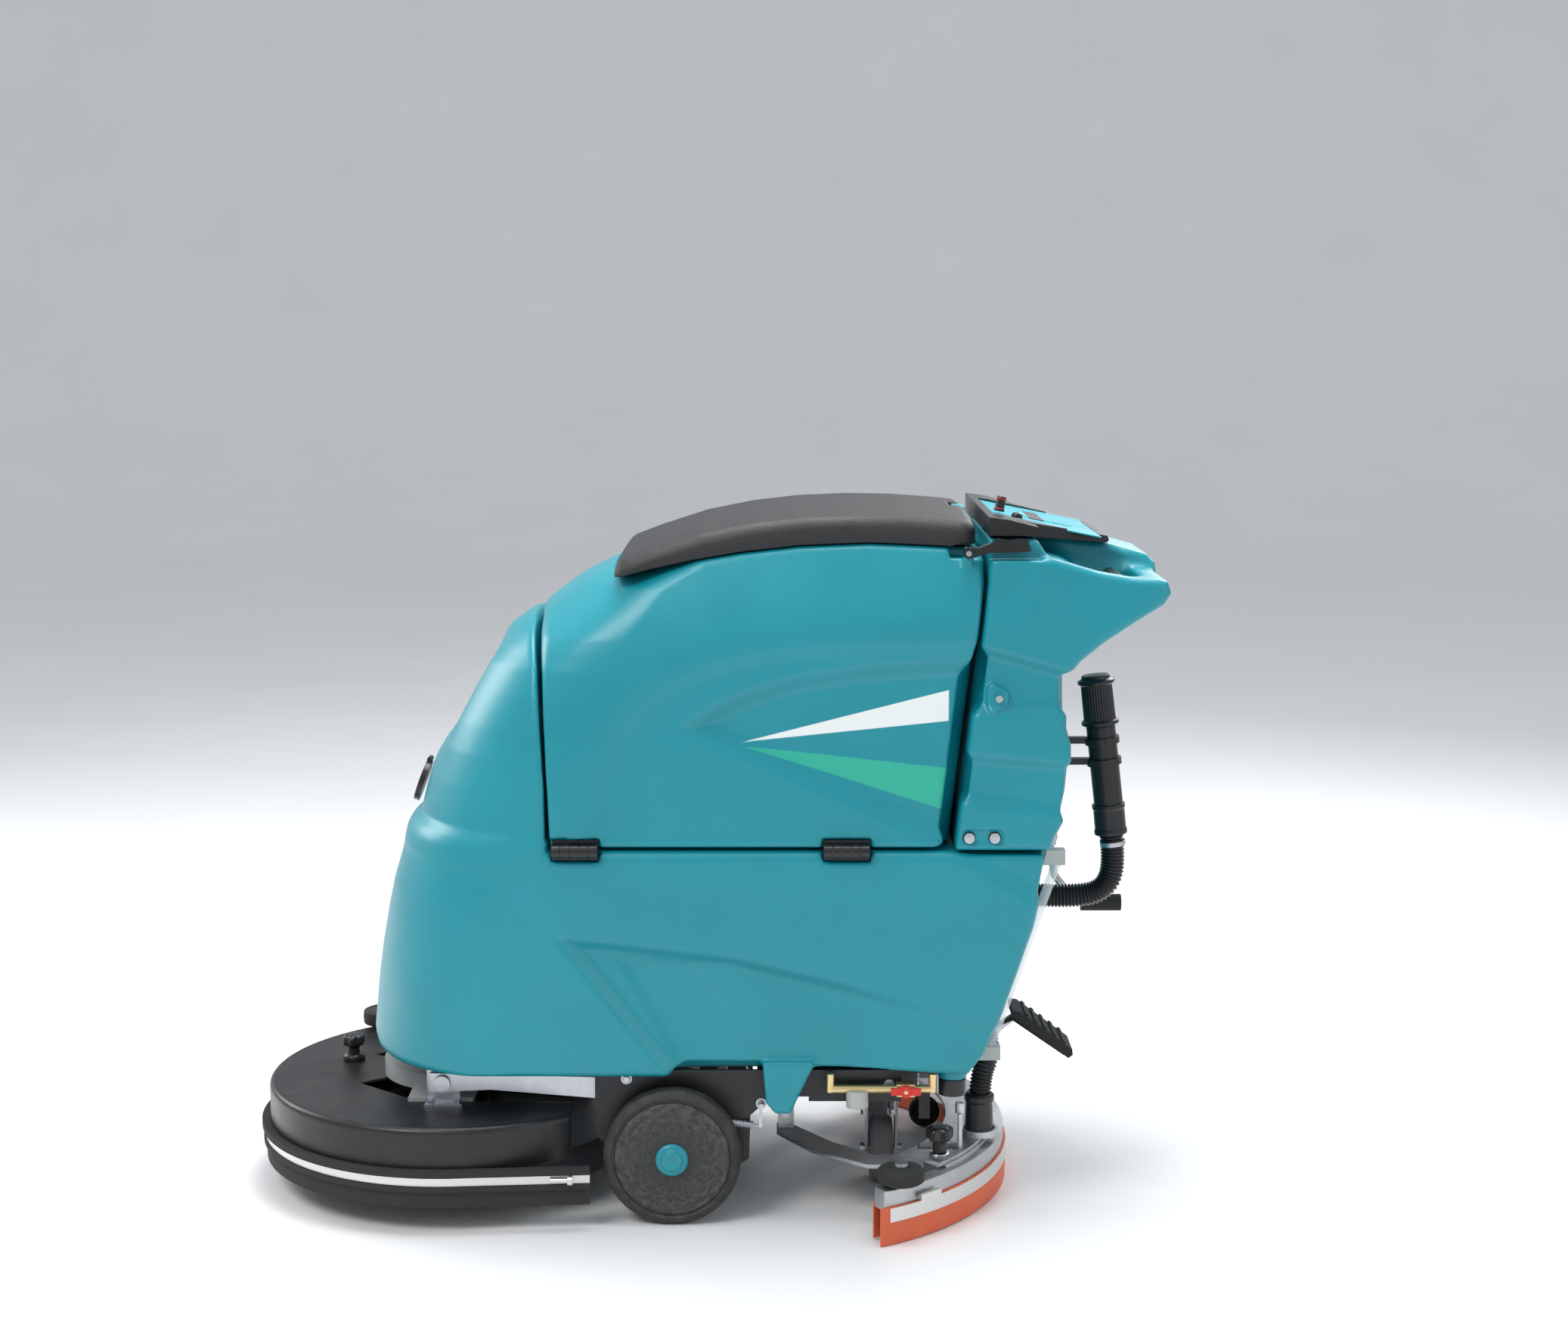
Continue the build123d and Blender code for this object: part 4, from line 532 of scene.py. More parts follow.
def build_grain():
    """Height of a moulded or cast skin."""
    tree, start, end = group("grain", [("Fine", "NodeSocketFloat", 900.0),
                                       ("Coarse", "NodeSocketFloat", 160.0),
                                       ("Wave", "NodeSocketFloat", 0.5)], [("Height", "NodeSocketFloat")])
    place = node(tree, "ShaderNodeTexCoord").outputs["Object"]
    fine = node(tree, "ShaderNodeTexNoise", {"Vector": place, "Scale": start.outputs["Fine"],
                                             "Detail": 2.0})
    coarse = node(tree, "ShaderNodeTexNoise", {"Vector": place, "Scale": start.outputs["Coarse"],
                                               "Detail": 1.0})
    weighted = maths(tree, "MULTIPLY", coarse.outputs["Fac"], start.outputs["Wave"])
    tree.links.new(maths(tree, "ADD", fine.outputs["Fac"], weighted), end.inputs["Height"])
    return tree


def build_edge_highlight():
    """Mask for a painted highlight on sharp edges, found by pointiness and broken up by noise."""
    tree, start, end = group("edge", [("Amount", "NodeSocketFloat", 1.0)], [("Mask", "NodeSocketFloat")])
    convexity = node(tree, "ShaderNodeNewGeometry").outputs["Pointiness"]
    place = node(tree, "ShaderNodeTexCoord").outputs["Object"]
    noise = node(tree, "ShaderNodeTexNoise", {"Vector": place, "Scale": 90.0, "Detail": 5.0})
    sharp = spread(tree, convexity, 0.53, 0.62)
    edge_highlight = maths(tree, "MULTIPLY", sharp, spread(tree, noise.outputs["Fac"], 0.35, 0.6))
    tree.links.new(maths(tree, "MULTIPLY", edge_highlight, start.outputs["Amount"], True), end.inputs["Mask"])
    return tree


def build_dust():
    """Dust and dried splashes that lie on low and upward faces."""
    tree, start, end = group("dust", [("Amount", "NodeSocketFloat", 0.5),
                                      ("Reach", "NodeSocketFloat", 0.35)],
                             [("Mask", "NodeSocketFloat")])
    place = node(tree, "ShaderNodeTexCoord").outputs["Object"]
    height = node(tree, "ShaderNodeSeparateXYZ", {0: place}).outputs["Z"]
    facing = node(tree, "ShaderNodeSeparateXYZ",
                  {0: node(tree, "ShaderNodeNewGeometry").outputs["Normal"]}).outputs["Z"]
    low = maths(tree, "SUBTRACT", 1.0, maths(tree, "DIVIDE", height, start.outputs["Reach"], True), True)
    up = spread(tree, facing, -0.2, 0.9, 0.25, 1.0)
    noise = node(tree, "ShaderNodeTexNoise", {"Vector": place, "Scale": 38.0, "Detail": 8.0,
                                              "Roughness": 0.65})
    patch = spread(tree, noise.outputs["Fac"], 0.42, 0.72)
    total = maths(tree, "MULTIPLY", maths(tree, "MULTIPLY", low, up), patch)
    tree.links.new(maths(tree, "MULTIPLY", total, start.outputs["Amount"], True), end.inputs["Mask"])
    return tree


GROUPS = {"mottle": build_mottle, "grain": build_grain, "edge": build_edge_highlight, "dust": build_dust}


def effect(tree, name, **inputs):
    """Places a shared effect in a material."""
    made = tree.nodes.new("ShaderNodeGroup")
    made.node_tree = bpy.data.node_groups.get(name) or GROUPS[name]()
    for key, value in inputs.items():
        made.inputs[key.replace("_", " ")].default_value = value
    return made


def blend_colour(tree, factor, first, second):
    made = tree.nodes.new("ShaderNodeMix")
    made.data_type = "RGBA"
    for socket, value in ((made.inputs[0], factor), (made.inputs[6], first), (made.inputs[7], second)):
        if isinstance(value, bpy.types.NodeSocket):
            tree.links.new(value, socket)
        else:
            socket.default_value = value if not hasattr(value, "__len__") else (*value[:3], 1)
    return made.outputs[2]


def scaled(colour, amount):
    return tuple(min(1.0, c * amount) for c in colour[:3])


def surface(name, colour, rough, metal=0.0, mottle=(6.0, 300.0), vary=0.12, speck=0.04, fine=900.0,
            coarse=160.0,
            wave=0.5, bump=0.0002, dust=0.0, reach=0.3, edge=0.0, highlight_colour=None, **extra):
    """A material with varied colour and roughness, a skin, a painted highlight on sharp edges and dust."""
    material = bpy.data.materials.new(name)
    material.use_nodes = True
    tree = material.node_tree
    shader = tree.nodes["Principled BSDF"]
    varied = effect(tree, "mottle", Scale=mottle[0], Speckle=mottle[1])
    tone = blend_colour(tree, varied.outputs["Cloud"], scaled(colour, 1 - vary), scaled(colour, 1 + vary))
    strength = maths(tree, "MULTIPLY", varied.outputs["Speck"], speck)
    tone = blend_colour(tree, strength, tone, scaled([c + 0.03 for c in colour], 1.5))
    # painted highlight: sharp edges are blended towards a lighter colour
    if edge:
        edge_highlight = effect(tree, "edge", Amount=edge)
        tone = blend_colour(tree, edge_highlight.outputs["Mask"], tone,
                            highlight_colour or scaled([c + 0.06 for c in colour], 1.8))
    gloss = spread(tree, varied.outputs["Cloud"], 0.0, 1.0, rough - 0.05, rough + 0.06)
    if dust:
        dirt = effect(tree, "dust", Amount=dust, Reach=reach)
        tone = blend_colour(tree, dirt.outputs["Mask"], tone, (0.36, 0.34, 0.31))
        gloss = maths(tree, "ADD", gloss, maths(tree, "MULTIPLY", dirt.outputs["Mask"], 0.35), True)
    tree.links.new(tone, shader.inputs["Base Color"])
    tree.links.new(gloss, shader.inputs["Roughness"])
    if bump:
        skin = effect(tree, "grain", Fine=fine, Coarse=coarse, Wave=wave)
        made = node(tree, "ShaderNodeBump", {"Height": skin.outputs["Height"], "Distance": bump,
                                             "Strength": 1.0})
        tree.links.new(made.outputs["Normal"], shader.inputs["Normal"])
    shader.inputs["Metallic"].default_value = metal
    for key, value in extra.items():
        shader.inputs[key.replace("_", " ")].default_value = value
    return material, tree, shader, tone


def polygon_mask(tree, x, z, lines):
    """1 where every line (a, b, c) has a x + b z + c above zero, with a thin soft edge."""
    mask = None
    for a, b, c in lines:
        side = maths(tree, "ADD", maths(tree, "MULTIPLY", x, a), maths(tree, "MULTIPLY", z, b))
        side = spread(tree, maths(tree, "ADD", side, c), -0.0006, 0.0006)
        mask = side if mask is None else maths(tree, "MULTIPLY", mask, side)
    return mask


def lines_through(points):
    """Inward unit line equations of an outline that runs anticlockwise, from millimetres."""
    lines = []
    for (ax, az), (bx, bz) in zip(points, points[1:] + points[:1]):
        length = math.hypot(bx - ax, bz - az)
        a, b = -(bz - az) / length, (bx - ax) / length
        lines.append((a, b, -(a * ax + b * az) * MM))
    return lines


def teal_tank(name, striped):
    # edge=0.06 paints a faint highlight on the tank's sharp edges
    material, tree, shader, tone = surface(
        name, colours().teal, 0.40, vary=0.05, speck=0.035, fine=620.0, coarse=120.0, wave=0.9, bump=0.00016,
        dust=0.04, reach=0.5, edge=0.06, Coat_Weight=0.25, Coat_Roughness=0.26, Specular_IOR_Level=0.45)
    if striped:
        place = node(tree, "ShaderNodeSeparateXYZ",
                     {0: node(tree, "ShaderNodeTexCoord").outputs["Object"]})
        x, z = place.outputs["X"], place.outputs["Z"]
        upper = polygon_mask(tree, x, z, lines_through([(72, 706), (362, 736), (362, 780)]))
        lower = polygon_mask(tree, x, z, lines_through([(72, 700), (362, 606), (362, 668)]))
        far = node(tree, "ShaderNodeMath", {0: place.outputs["Y"]}, operation="ABSOLUTE").outputs[0]
        outside = maths(tree, "GREATER_THAN", far, 0.225)
        tone = blend_colour(tree, maths(tree, "MULTIPLY", upper, outside), tone, colours().stripe)
        tone = blend_colour(tree, maths(tree, "MULTIPLY", lower, outside), tone, colours().accent)
        tree.links.new(tone, shader.inputs["Base Color"])
    return material


def zinc(name):
    """Zinc plated steel with clouded, slightly blue and violet patches."""
    # edge and the pale grey after it paint a light highlight on sharp edges
    material, tree, shader, tone = surface(
        name, (0.56, 0.57, 0.59), 0.33, metal=1.0, mottle=(26.0,
                                                           500.0), vary=0.16, speck=0.05, fine=1400.0,
        coarse=300.0, wave=0.6, bump=0.00006, dust=0.35, reach=0.3, edge=0.25, highlight_colour=(0.78, 0.78, 0.78))
    place = node(tree, "ShaderNodeTexCoord").outputs["Object"]
    patch = node(tree, "ShaderNodeTexVoronoi", {"Vector": place, "Scale": 70.0, "Randomness": 1.0})
    tone = blend_colour(tree, spread(tree, patch.outputs["Distance"], 0.0, 0.9, 0.0, 0.28), tone,
                        (0.42, 0.46, 0.60))
    tree.links.new(tone, shader.inputs["Base Color"])
    return material


def brushed(name, colour, rough, stretch):
    """Metal drawn along one direction, with fine lines."""
    material, tree, shader, _ = surface(name, colour, rough, metal=1.0, vary=0.06, speck=0.02, bump=0.0,
                                        dust=0.15)
    place = node(tree, "ShaderNodeMapping", {"Vector": node(tree, "ShaderNodeTexCoord").outputs["Object"],
                                             "Scale": stretch})
    lines = node(tree, "ShaderNodeTexNoise", {"Vector": place.outputs["Vector"], "Scale": 90.0,
                                              "Detail": 4.0})
    made = node(tree, "ShaderNodeBump", {"Height": lines.outputs["Fac"], "Distance": 0.00008,
                                         "Strength": 0.8})
    tree.links.new(made.outputs["Normal"], shader.inputs["Normal"])
    tree.links.new(spread(tree, lines.outputs["Fac"], 0.3, 0.7, rough - 0.06, rough + 0.10),
                   shader.inputs["Roughness"])
    return material


def dusty_disc(name, colour):
    """Wheel disc with dust wiped round by use."""
    material, tree, shader, tone = surface(name, colour, 0.62, vary=0.2, speck=0.08, fine=500.0,
                                           coarse=80.0,
                                           wave=1.2, bump=0.0005)
    place = node(tree, "ShaderNodeSeparateXYZ", {0: node(tree, "ShaderNodeTexCoord").outputs["Object"]})
    x = maths(tree, "SUBTRACT", place.outputs["X"], WHEEL_MID.x * MM)
    z = maths(tree, "SUBTRACT", place.outputs["Z"], WHEEL_MID.z * MM)
    radius = maths(tree, "SQRT", maths(tree, "ADD", maths(tree, "MULTIPLY", x, x),
                                       maths(tree, "MULTIPLY", z, z)))
    angle = maths(tree, "ARCTAN2", x, z)
    polar = node(tree, "ShaderNodeCombineXYZ", {"X": maths(tree, "MULTIPLY", radius, 60.0),
                                                "Y": maths(tree, "MULTIPLY", angle, 2.2)})
    streak = node(tree, "ShaderNodeTexNoise", {"Vector": polar.outputs[0], "Scale": 2.4, "Detail": 9.0,
                                               "Roughness": 0.7})
    outward = spread(tree, radius, 0.02, 0.085, 0.05, 0.26)
    dirt = maths(tree, "MULTIPLY", spread(tree, streak.outputs["Fac"], 0.42, 0.66), outward)
    tone = blend_colour(tree, dirt, tone, (0.30, 0.285, 0.265))
    tree.links.new(tone, shader.inputs["Base Color"])
    return material


def clear(name, tint, rough):
    material = bpy.data.materials.new(name)
    material.use_nodes = True
    tree = material.node_tree
    shader = tree.nodes["Principled BSDF"]
    varied = effect(tree, "mottle", Scale=30.0, Speckle=200.0)
    tone = blend_colour(tree, varied.outputs["Cloud"], scaled(tint, 0.9), tint)
    tree.links.new(tone, shader.inputs["Base Color"])
    gloss = spread(tree, varied.outputs["Cloud"], 0.0, 1.0, rough, rough + 0.12)
    tree.links.new(gloss, shader.inputs["Roughness"])
    shader.inputs["Transmission Weight"].default_value = 0.82
    shader.inputs["IOR"].default_value = 1.42
    return material


# In these materials edge sets the strength of a painted highlight on sharp edges; a colour given with it is the
# highlight's colour.
MATERIALS = {
    "tank_teal": lambda n: teal_tank(n, False),
    "tank_teal_striped": lambda n: teal_tank(n, True),
    "panel_teal": lambda n: surface(n, scaled(colours().teal, 1.5), 0.30, vary=0.03, speck=0.01,
                                    bump=0.00005,
                                    fine=1500.0)[0],
    "lid_grain": lambda n: surface(n, scaled(colours().lid, 0.55), 0.56, vary=0.08, speck=0.02,
                                   fine=520.0, coarse=230.0, wave=0.7,
                                   bump=0.0005, edge=0.12)[0],
    "black_moulded": lambda n: surface(n, colours().black, 0.30, vary=0.15, speck=0.03, fine=900.0,
                                       bump=0.00012,
                                       dust=0.08, reach=0.3, edge=0.12)[0],
    "black_gloss": lambda n: surface(n, scaled(colours().black, 0.8), 0.12, vary=0.1, speck=0.01,
                                     bump=0.0)[0],
    # the deck's thin light edge line is a painted highlight on its sharp edges
    "black_coat": lambda n: surface(n, colours().paint, 0.36, mottle=(9.0, 500.0), vary=0.12, speck=0.05,
                                    fine=700.0, coarse=90.0, wave=1.0, bump=0.00010, dust=0.10, reach=0.24,
                                    edge=0.25, highlight_colour=(0.10, 0.10, 0.11))[0],
    "black_rubber": lambda n: surface(n, (0.013, 0.0135, 0.016), 0.46, vary=0.2, speck=0.04, fine=420.0,
                                      bump=0.0003,
                                      dust=0.14, reach=0.2, edge=0.1)[0],
    "tyre_rubber": lambda n: surface(n, (0.020, 0.0195, 0.019), 0.66, vary=0.2, speck=0.10, fine=380.0,
                                     bump=0.0005,
                                     dust=0.35, reach=0.3, edge=0.2, highlight_colour=(0.11, 0.105, 0.1))[0],
    "wheel_disc": lambda n: dusty_disc(n, (0.024, 0.024, 0.024)),
    "grey_rubber": lambda n: surface(n, (0.095, 0.097, 0.10), 0.42, vary=0.15, speck=0.08, fine=500.0,
                                     bump=0.0003,
                                     dust=0.6, reach=0.15)[0],
    "blade_rubber": lambda n: surface(n, colours().blade, 0.46, vary=0.10, speck=0.03, fine=500.0,
                                      bump=0.0002,
                                      dust=0.4, reach=0.06)[0],
    "zinc": zinc,
    "stainless": lambda n: brushed(n, (0.52, 0.49, 0.43), 0.24, (1.0, 1.0, 30.0)),
    "chrome": lambda n: surface(n, (0.74, 0.75, 0.76), 0.12, metal=1.0, vary=0.05, speck=0.02,
                                bump=0.0)[0],
    "cast_metal": lambda n: surface(n, (0.50, 0.51, 0.52), 0.42, metal=1.0, mottle=(18.0, 260.0),
                                    vary=0.12,
                                    speck=0.12, fine=420.0, coarse=140.0, wave=1.2, bump=0.0005, dust=0.3,
                                    reach=0.25)[0],
    "motor_enamel": lambda n: surface(n, colours().motor, 0.38, vary=0.06, speck=0.04, fine=500.0,
                                      bump=0.0003,
                                      dust=0.3, reach=0.35)[0],
    "brass": lambda n: surface(n, (0.68, 0.50, 0.23), 0.27, metal=1.0, mottle=(40.0, 500.0), vary=0.14,
                               speck=0.05,
                               fine=900.0, bump=0.00008, edge=0.3, highlight_colour=(0.9, 0.76, 0.45))[0],
    "copper": lambda n: surface(n, (0.62, 0.30, 0.16), 0.30, metal=1.0, vary=0.15, speck=0.05,
                                bump=0.00006)[0],
    "red_gloss": lambda n: surface(n, colours().red, 0.26, vary=0.06, speck=0.01, fine=700.0,
                                   bump=0.00008)[0],
    "clear_plastic": lambda n: clear(n, (0.86, 0.90, 0.90), 0.10),
    "milky_plastic": lambda n: surface(n, (0.62, 0.64, 0.62), 0.32, vary=0.06, speck=0.02, bump=0.00008,
                                       Transmission_Weight=0.35)[0],
    "bristles": lambda n: surface(n, (0.035, 0.04, 0.05), 0.6, mottle=(60.0, 700.0), vary=0.4, speck=0.2,
                                  fine=700.0, coarse=500.0, wave=1.0, bump=0.002)[0],
    "battery_case": lambda n: surface(n, (0.02, 0.02, 0.022), 0.42, vary=0.1, speck=0.05, bump=0.0003)[0],
}


def material(name):
    return bpy.data.materials.get(name) or MATERIALS[name](name)


# ---- putting pieces in the frame ------------------------------------------------------------
def place(piece, body, finish, slot, *replaced):
    """Gives a new piece its material, body and the frame nodes that it stands for. The slot is not used."""
    pieces = piece if isinstance(piece, list) else [piece]
    for one in pieces:
        one.data.materials.clear()
        one.data.materials.append(material(finish))
        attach(one, body)
    if replaced:
        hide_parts(*replaced)
    return pieces[0]


def dress(name, finish, edge=0.0, others=()):
    """A frame node with its own material, soft edges and, by place, other materials."""
    piece = frame["nodes"][name]
    piece.data.materials.clear()
    piece.data.materials.append(material(finish))
    for index, (other, _) in enumerate(others, 1):
        piece.data.materials.append(material(other))
    for face in piece.data.polygons:
        centre = face.center / MM
        for index, (_, test) in enumerate(others, 1):
            if test(centre):
                face.material_index = index
    weld = piece.modifiers.new("weld", "WELD")
    weld.merge_threshold = 0.00002
    piece.data.shade_smooth()
    soften(piece, edge or 0.3)
    return piece


# ---- the shapes of the body -----------------------------------------------------------------
NOSE_LINE = [(190, -499), (255, -493), (317, -487), (366, -480), (422, -470), (464, -461), (507, -448),
             (544, -439), (562, -431), (574, -419), (598, -413), (629, -404), (677, -387), (717, -369),
             (764, -344), (805, -320), (832, -296), (850, -278), (868, -252), (886, -226), (922, -177),
             (937, -147), (950, -119), (984, -59), (1008, 12)]
PLAN_POWER = 0.374
RIM_LINE = [(-112, 934), (-60, 948), (0, 961), (70, 973), (150, 982), (250, 986), (340, 982), (404, 977)]
SHOULDER_LINE = [(-215, 742), (-152, 752), (-91, 806), (19, 848), (184, 873), (410, 876)]


def nose(x, y, z):
    """Distance in front of the rounded bow that both tanks share."""
    heights, fronts = zip(*NOSE_LINE)
    wide = np.clip(np.abs(y) / BODY_HALF, 0, 0.9999)
    bulge = BODY_HALF * (1 - (1 - wide ** 2) ** PLAN_POWER)
    return np.interp(z, heights, fronts) + bulge - x


def rim(x):
    along, heights = zip(*RIM_LINE)
    return np.interp(x, along, heights)


def side_step(x, z, outline, width, depth):
    """How far the side is sunk inside an outline, through a soft bank of a given width."""
    return depth * ramp(-outline_distance(x, z, outline), 0.0, width)


BASE_OUTLINE = [(-540, 252), (-474, BASE_FOOT), (396, BASE_FOOT), (420, 250), (443, 312), (465, 376),
                (486, 439), (497, 490), (508, SEAM), (-208, SEAM), (-208, 562), (-540, 562)]
PROW_OUTLINE = [(-540, 520), (-540, 880), (-248, 880), (-231, 860), (-222, 800), (-217, 720), (-212, 640),
                (-210, 520)]
LOWER_ARROW = [(-208, 430), (-120, 424), (60, 402), (240, 358), (400, 312), (470, 288), (470, 150),
               (10, 150)]
LOWER_STRIP = [(-120, 400), (0, 392), (140, 200), (-10, 200)]
LOWER_TAIL = [(330, 580), (352, 548), (485, 470), (560, 470), (560, 580)]


def hinge_pockets(x, y, z):
    pockets = None
    for low, high in HINGE_PLACES:
        box = brick(x, np.abs(y + BODY_HALF), z, (low, -60, SEAM - 15), (high, 14, SEAM + 18), 2.0)
        pockets = box if pockets is None else np.minimum(pockets, box)
    return pockets


HINGE_PLACES = ((-203.0, -133.0), (183.0, 253.0))


def lower_tank_field(x, y, z):
    side = np.abs(y) - BODY_HALF
    base = meet(outline_distance(x, z, BASE_OUTLINE), side, 13.0)
    base = meet(base, nose(x, y, z), 13.0)
    scoop = 16.0 * ramp(z, 640, 720) * (1 - ramp(z, 800, 852)) * (1 - ramp(np.abs(y), 55, 120))
    prow = meet(outline_distance(x, z, PROW_OUTLINE), side, 9.0)
    prow = meet(prow, nose(x, y, z) + scoop + 2.0, 11.0)
    shape = join(base, prow, 7.0)
    outer = ramp(np.abs(y), 200, 235)
    shape = shape + outer * side_step(x, z, LOWER_ARROW, 26.0, 14.0) * (1 - ramp(x, 180, 400) * 0.75)
    strip = side_step(x, z, LOWER_STRIP, 18.0, 5.0)
    shape = shape + outer * strip * (1 - ramp(z, 400, 425))
    shape = shape + outer * side_step(x, z, LOWER_TAIL, 26.0, 6.0)
    lug = meet(outline_distance(x, z, [(98, 240), (103, 180), (116, 164), (138, 164), (174, 240)]),
               slab(np.abs(y), BODY_HALF - 24, BODY_HALF - 3), 3.0)
    shape = join(shape, lug, 8.0)
    boss = np.maximum(np.hypot(x - 374, y + 214) - 21, slab(z, BASE_FOOT - 12, BASE_FOOT + 20))
    shape = join(shape, boss, 4.0)
    bay = brick(x, y, z, (-165, -200, 314), (335, 200, 600), 12.0)
    filler = np.maximum(np.hypot(y, z - 604) - 26, slab(x, -480, -360))
    shape = cut(cut(shape, bay, 3.0), filler, 3.0)
    return cut(shape, hinge_pockets(x, y, z), 2.0)


TANK_OUTLINE = [(-204, 553.5), (-207, 640), (-211, 720), (-215, 800), (-222, 868), (-228, 884),
                (-177, 922),
                (-147, 937), (-117, 950), (-115, 936)] + RIM_LINE + [(410, 971), (410, 930), (366, 553.5)]
UPPER_ARROW = [(-24, 722), (0, 748), (60, 780), (140, 806), (250, 824), (440, 834), (440, 520),
               (352, 548),
               (250, 602), (100, 668)]


def recovery_tank_field(x, y, z):
    along, heights = zip(*SHOULDER_LINE)
    start = np.interp(x, along, heights)
    rise = np.clip((z - start) / (rim(x) + 4 - start), 0, 1.2)
    side = np.abs(y) - (BODY_HALF - 36.0 * rise ** 1.35)
    shape = meet(outline_distance(x, z, TANK_OUTLINE), side, 9.0)
    shape = meet(shape, nose(x, y, z), 14.0)
    outer = ramp(np.abs(y), 190, 230)
    arrow = side_step(x, z, UPPER_ARROW, 34.0, 15.0)
    shape = shape + outer * (arrow + 4.0 * ramp(-outline_distance(x, z, ARCH), 0.0, 30.0))
    inside = brick(x, y, z, (-150, -200, 580), (340, 200, 890), 30.0)
    mouth = brick(x, y, z, (-10, -150, 850), (320, 150, 1100), 16.0)
    notch = brick(x, y, z, (NOTCH_X, -400, 966), (460, -205, 1100), 3.0)
    shape = cut(cut(cut(shape, inside, 4.0), mouth, 4.0), notch, 3.0)
    lug = brick(x, y, z, (378, -30, 960), (398, 30, 1023), 4.0)
    ear = brick(x, y, z, (379, -239, 950), (395, -233, 982), 1.5)
    shape = join(join(shape, lug, 3.0), ear, 2.0)
    return cut(shape, hinge_pockets(x, y, z), 2.0)


ARCH = [(-160, 560), (-150, 640), (-118, 720), (-60, 786), (20, 826), (120, 846), (260, 856), (440, 858),
        (440, 540), (-160, 540)]
NOTCH_X = 362.0
LID_TOP_LINE = [(-112, 962), (-104, 968), (-59, 985), (12, 1008), (82, 1022), (152, 1030), (223, 1033),
                (293, 1032), (363, 1027), (400, 1023)]


def lid_field(x, y, z):
    along, heights = zip(*LID_TOP_LINE)
    wide = np.abs(y) / LID_HALF
    top = z - (np.interp(x, along, heights) - 11.0 * wide ** 3)
    foot = rim(x) + 1.5 - z
    sides = np.abs(y) - LID_HALF + 5.0 * ramp(z - rim(x), 4, 40)
    shape = meet(meet(slab(x, -112, 400), sides, 26.0), top, 15.0)
    shape = meet(shape, foot, 2.0)
    hollow = meet(meet(slab(x, -104, 392), np.abs(y) - (LID_HALF - 10), 20.0), top + 8.0, 10.0)
    shape = cut(shape, hollow, 2.0)
    web = brick(x, y, z, (374, -44, 990), (400, 44, 1019), 2.0)
    shape = join(shape, web, 2.0)
    relief = brick(x, y, z, (368, -400, 900), (460, 400, 984), 1.0)
    notch = brick(x, y, z, (374, -32, 900), (460, 32, 1100), 2.0)
    return cut(cut(shape, notch, 2.0), relief, 2.0)


HOUSING_OUTLINE = [(372, 551), (508, 551), (513, 568), (526, 592), (533, 626), (536, 660), (535, 702),
                   (528, 727),
                   (527, 797), (547, 822), (579, 848), (622, 877), (662, 902), (672, 918), (667, 935),
                   (654, 938),
                   (615, 940), (570, 948), (537, 958), (504, 968), (427, 973), (417, 973), (416, 930),
                   (394, 740)]
SPINE_OUTLINE = [(417, 940), (417, 996), (440, 997), (600, 975), (660, 958), (672, 946), (672, 918),
                 (640, 895),
                 (560, 850)]


def housing_field(x, y, z):
    side = np.abs(y) - HOUSING_HALF
    shape = meet(outline_distance(x, z, HOUSING_OUTLINE), side, 11.0)
    spine = meet(outline_distance(x, z, SPINE_OUTLINE), np.abs(y) - 88, 12.0)
    head = meet(outline_distance(x, z, [(417, 940), (417, 994), (486, 990), (520, 940)]), np.abs(y) - 236,
                6.0)
    shape = join(join(shape, spine, 16.0), head, 4.0)
    outer = ramp(np.abs(y), 190, 228)
    upper = side_step(x, z, [(330, 850), (420, 846), (560, 806), (600, 742), (330, 742)], 22.0, 12.0)
    lower = side_step(x, z, [(330, 700), (420, 692), (600, 676), (600, 560), (500, 600), (330, 622)],
                      20.0, 9.0)
    shape = shape + outer * (upper + lower)
    tab = join(np.hypot(x - 432, z - 770) - 15, slab(x, 416,
                                                     432) + 0 * z + np.maximum(np.abs(z - 770) - 15,
                                                                               0), 4.0)
    shape = shape - outer * 7.0 * ramp(-tab, -4.0, 3.0)
    trough = 9.0 * ramp(z, 920, 934) * ramp(x, 520, 560) * (1 - ramp(x, 610, 636))
    shape = shape + trough * (1 - ramp(np.abs(np.abs(y) - 148), 52, 78))
    fingers = brick(x, np.abs(y), z, (548, 92, 700), (636, 206, 1100), 16.0)
    pocket = brick(x, y, z, (400, -420, 965), (492, -236, 1100), 3.0)
    screw_seat = brick(x, np.abs(y), z, (380, 254, 558), (442, 300, 583), 6.0)
    shape = cut(cut(shape, fingers, 7.0), pocket, 3.0)
    return cut(shape, screw_seat, 2.0)


def deck_field(x, y, z):
    away = np.hypot(x - DECK_MID.x, y)
    shell = meet(away - DECK_RADIUS, z - 153, 9.0)
    inner = meet(away - (DECK_RADIUS - 5.5), z - 147.8, 5.0)
    shape = meet(cut(shell, inner, 0.8), 86 - z, 1.0)
    opening = outline_distance(x, y, CUTOUT)
    rear = slab(z, 130, 200)
    shape = cut(shape, meet(opening, rear, 2.0), 1.5)
    shape = meet(shape, x + 181, 1.0)
    bridge = meet(meet(slab(x, -420, -330), np.abs(y) - 182, 3.0), slab(z, 148, 153), 1.0)
    shape = np.minimum(shape, bridge)
    return cut(shape, np.maximum(away - 17, slab(z, 100, 200)), 1.0)


CUTOUT = [(-512, -74), (-478, -50), (-455, -20), (-455, 20), (-478, 50), (-512, 74), (-426, 150),
          (-300, 165),
          (-60, 165), (-60, -165), (-300, -165), (-426, -150)]


# ---- operators, one for each piece or group of like pieces -----------------------------------
class Builder:
    """What the operators share: each make() builds pieces or raises an error."""
    bl_options = {"REGISTER", "UNDO"}

    def execute(self, context):
        self.make(context.scene)
        return {"FINISHED"}


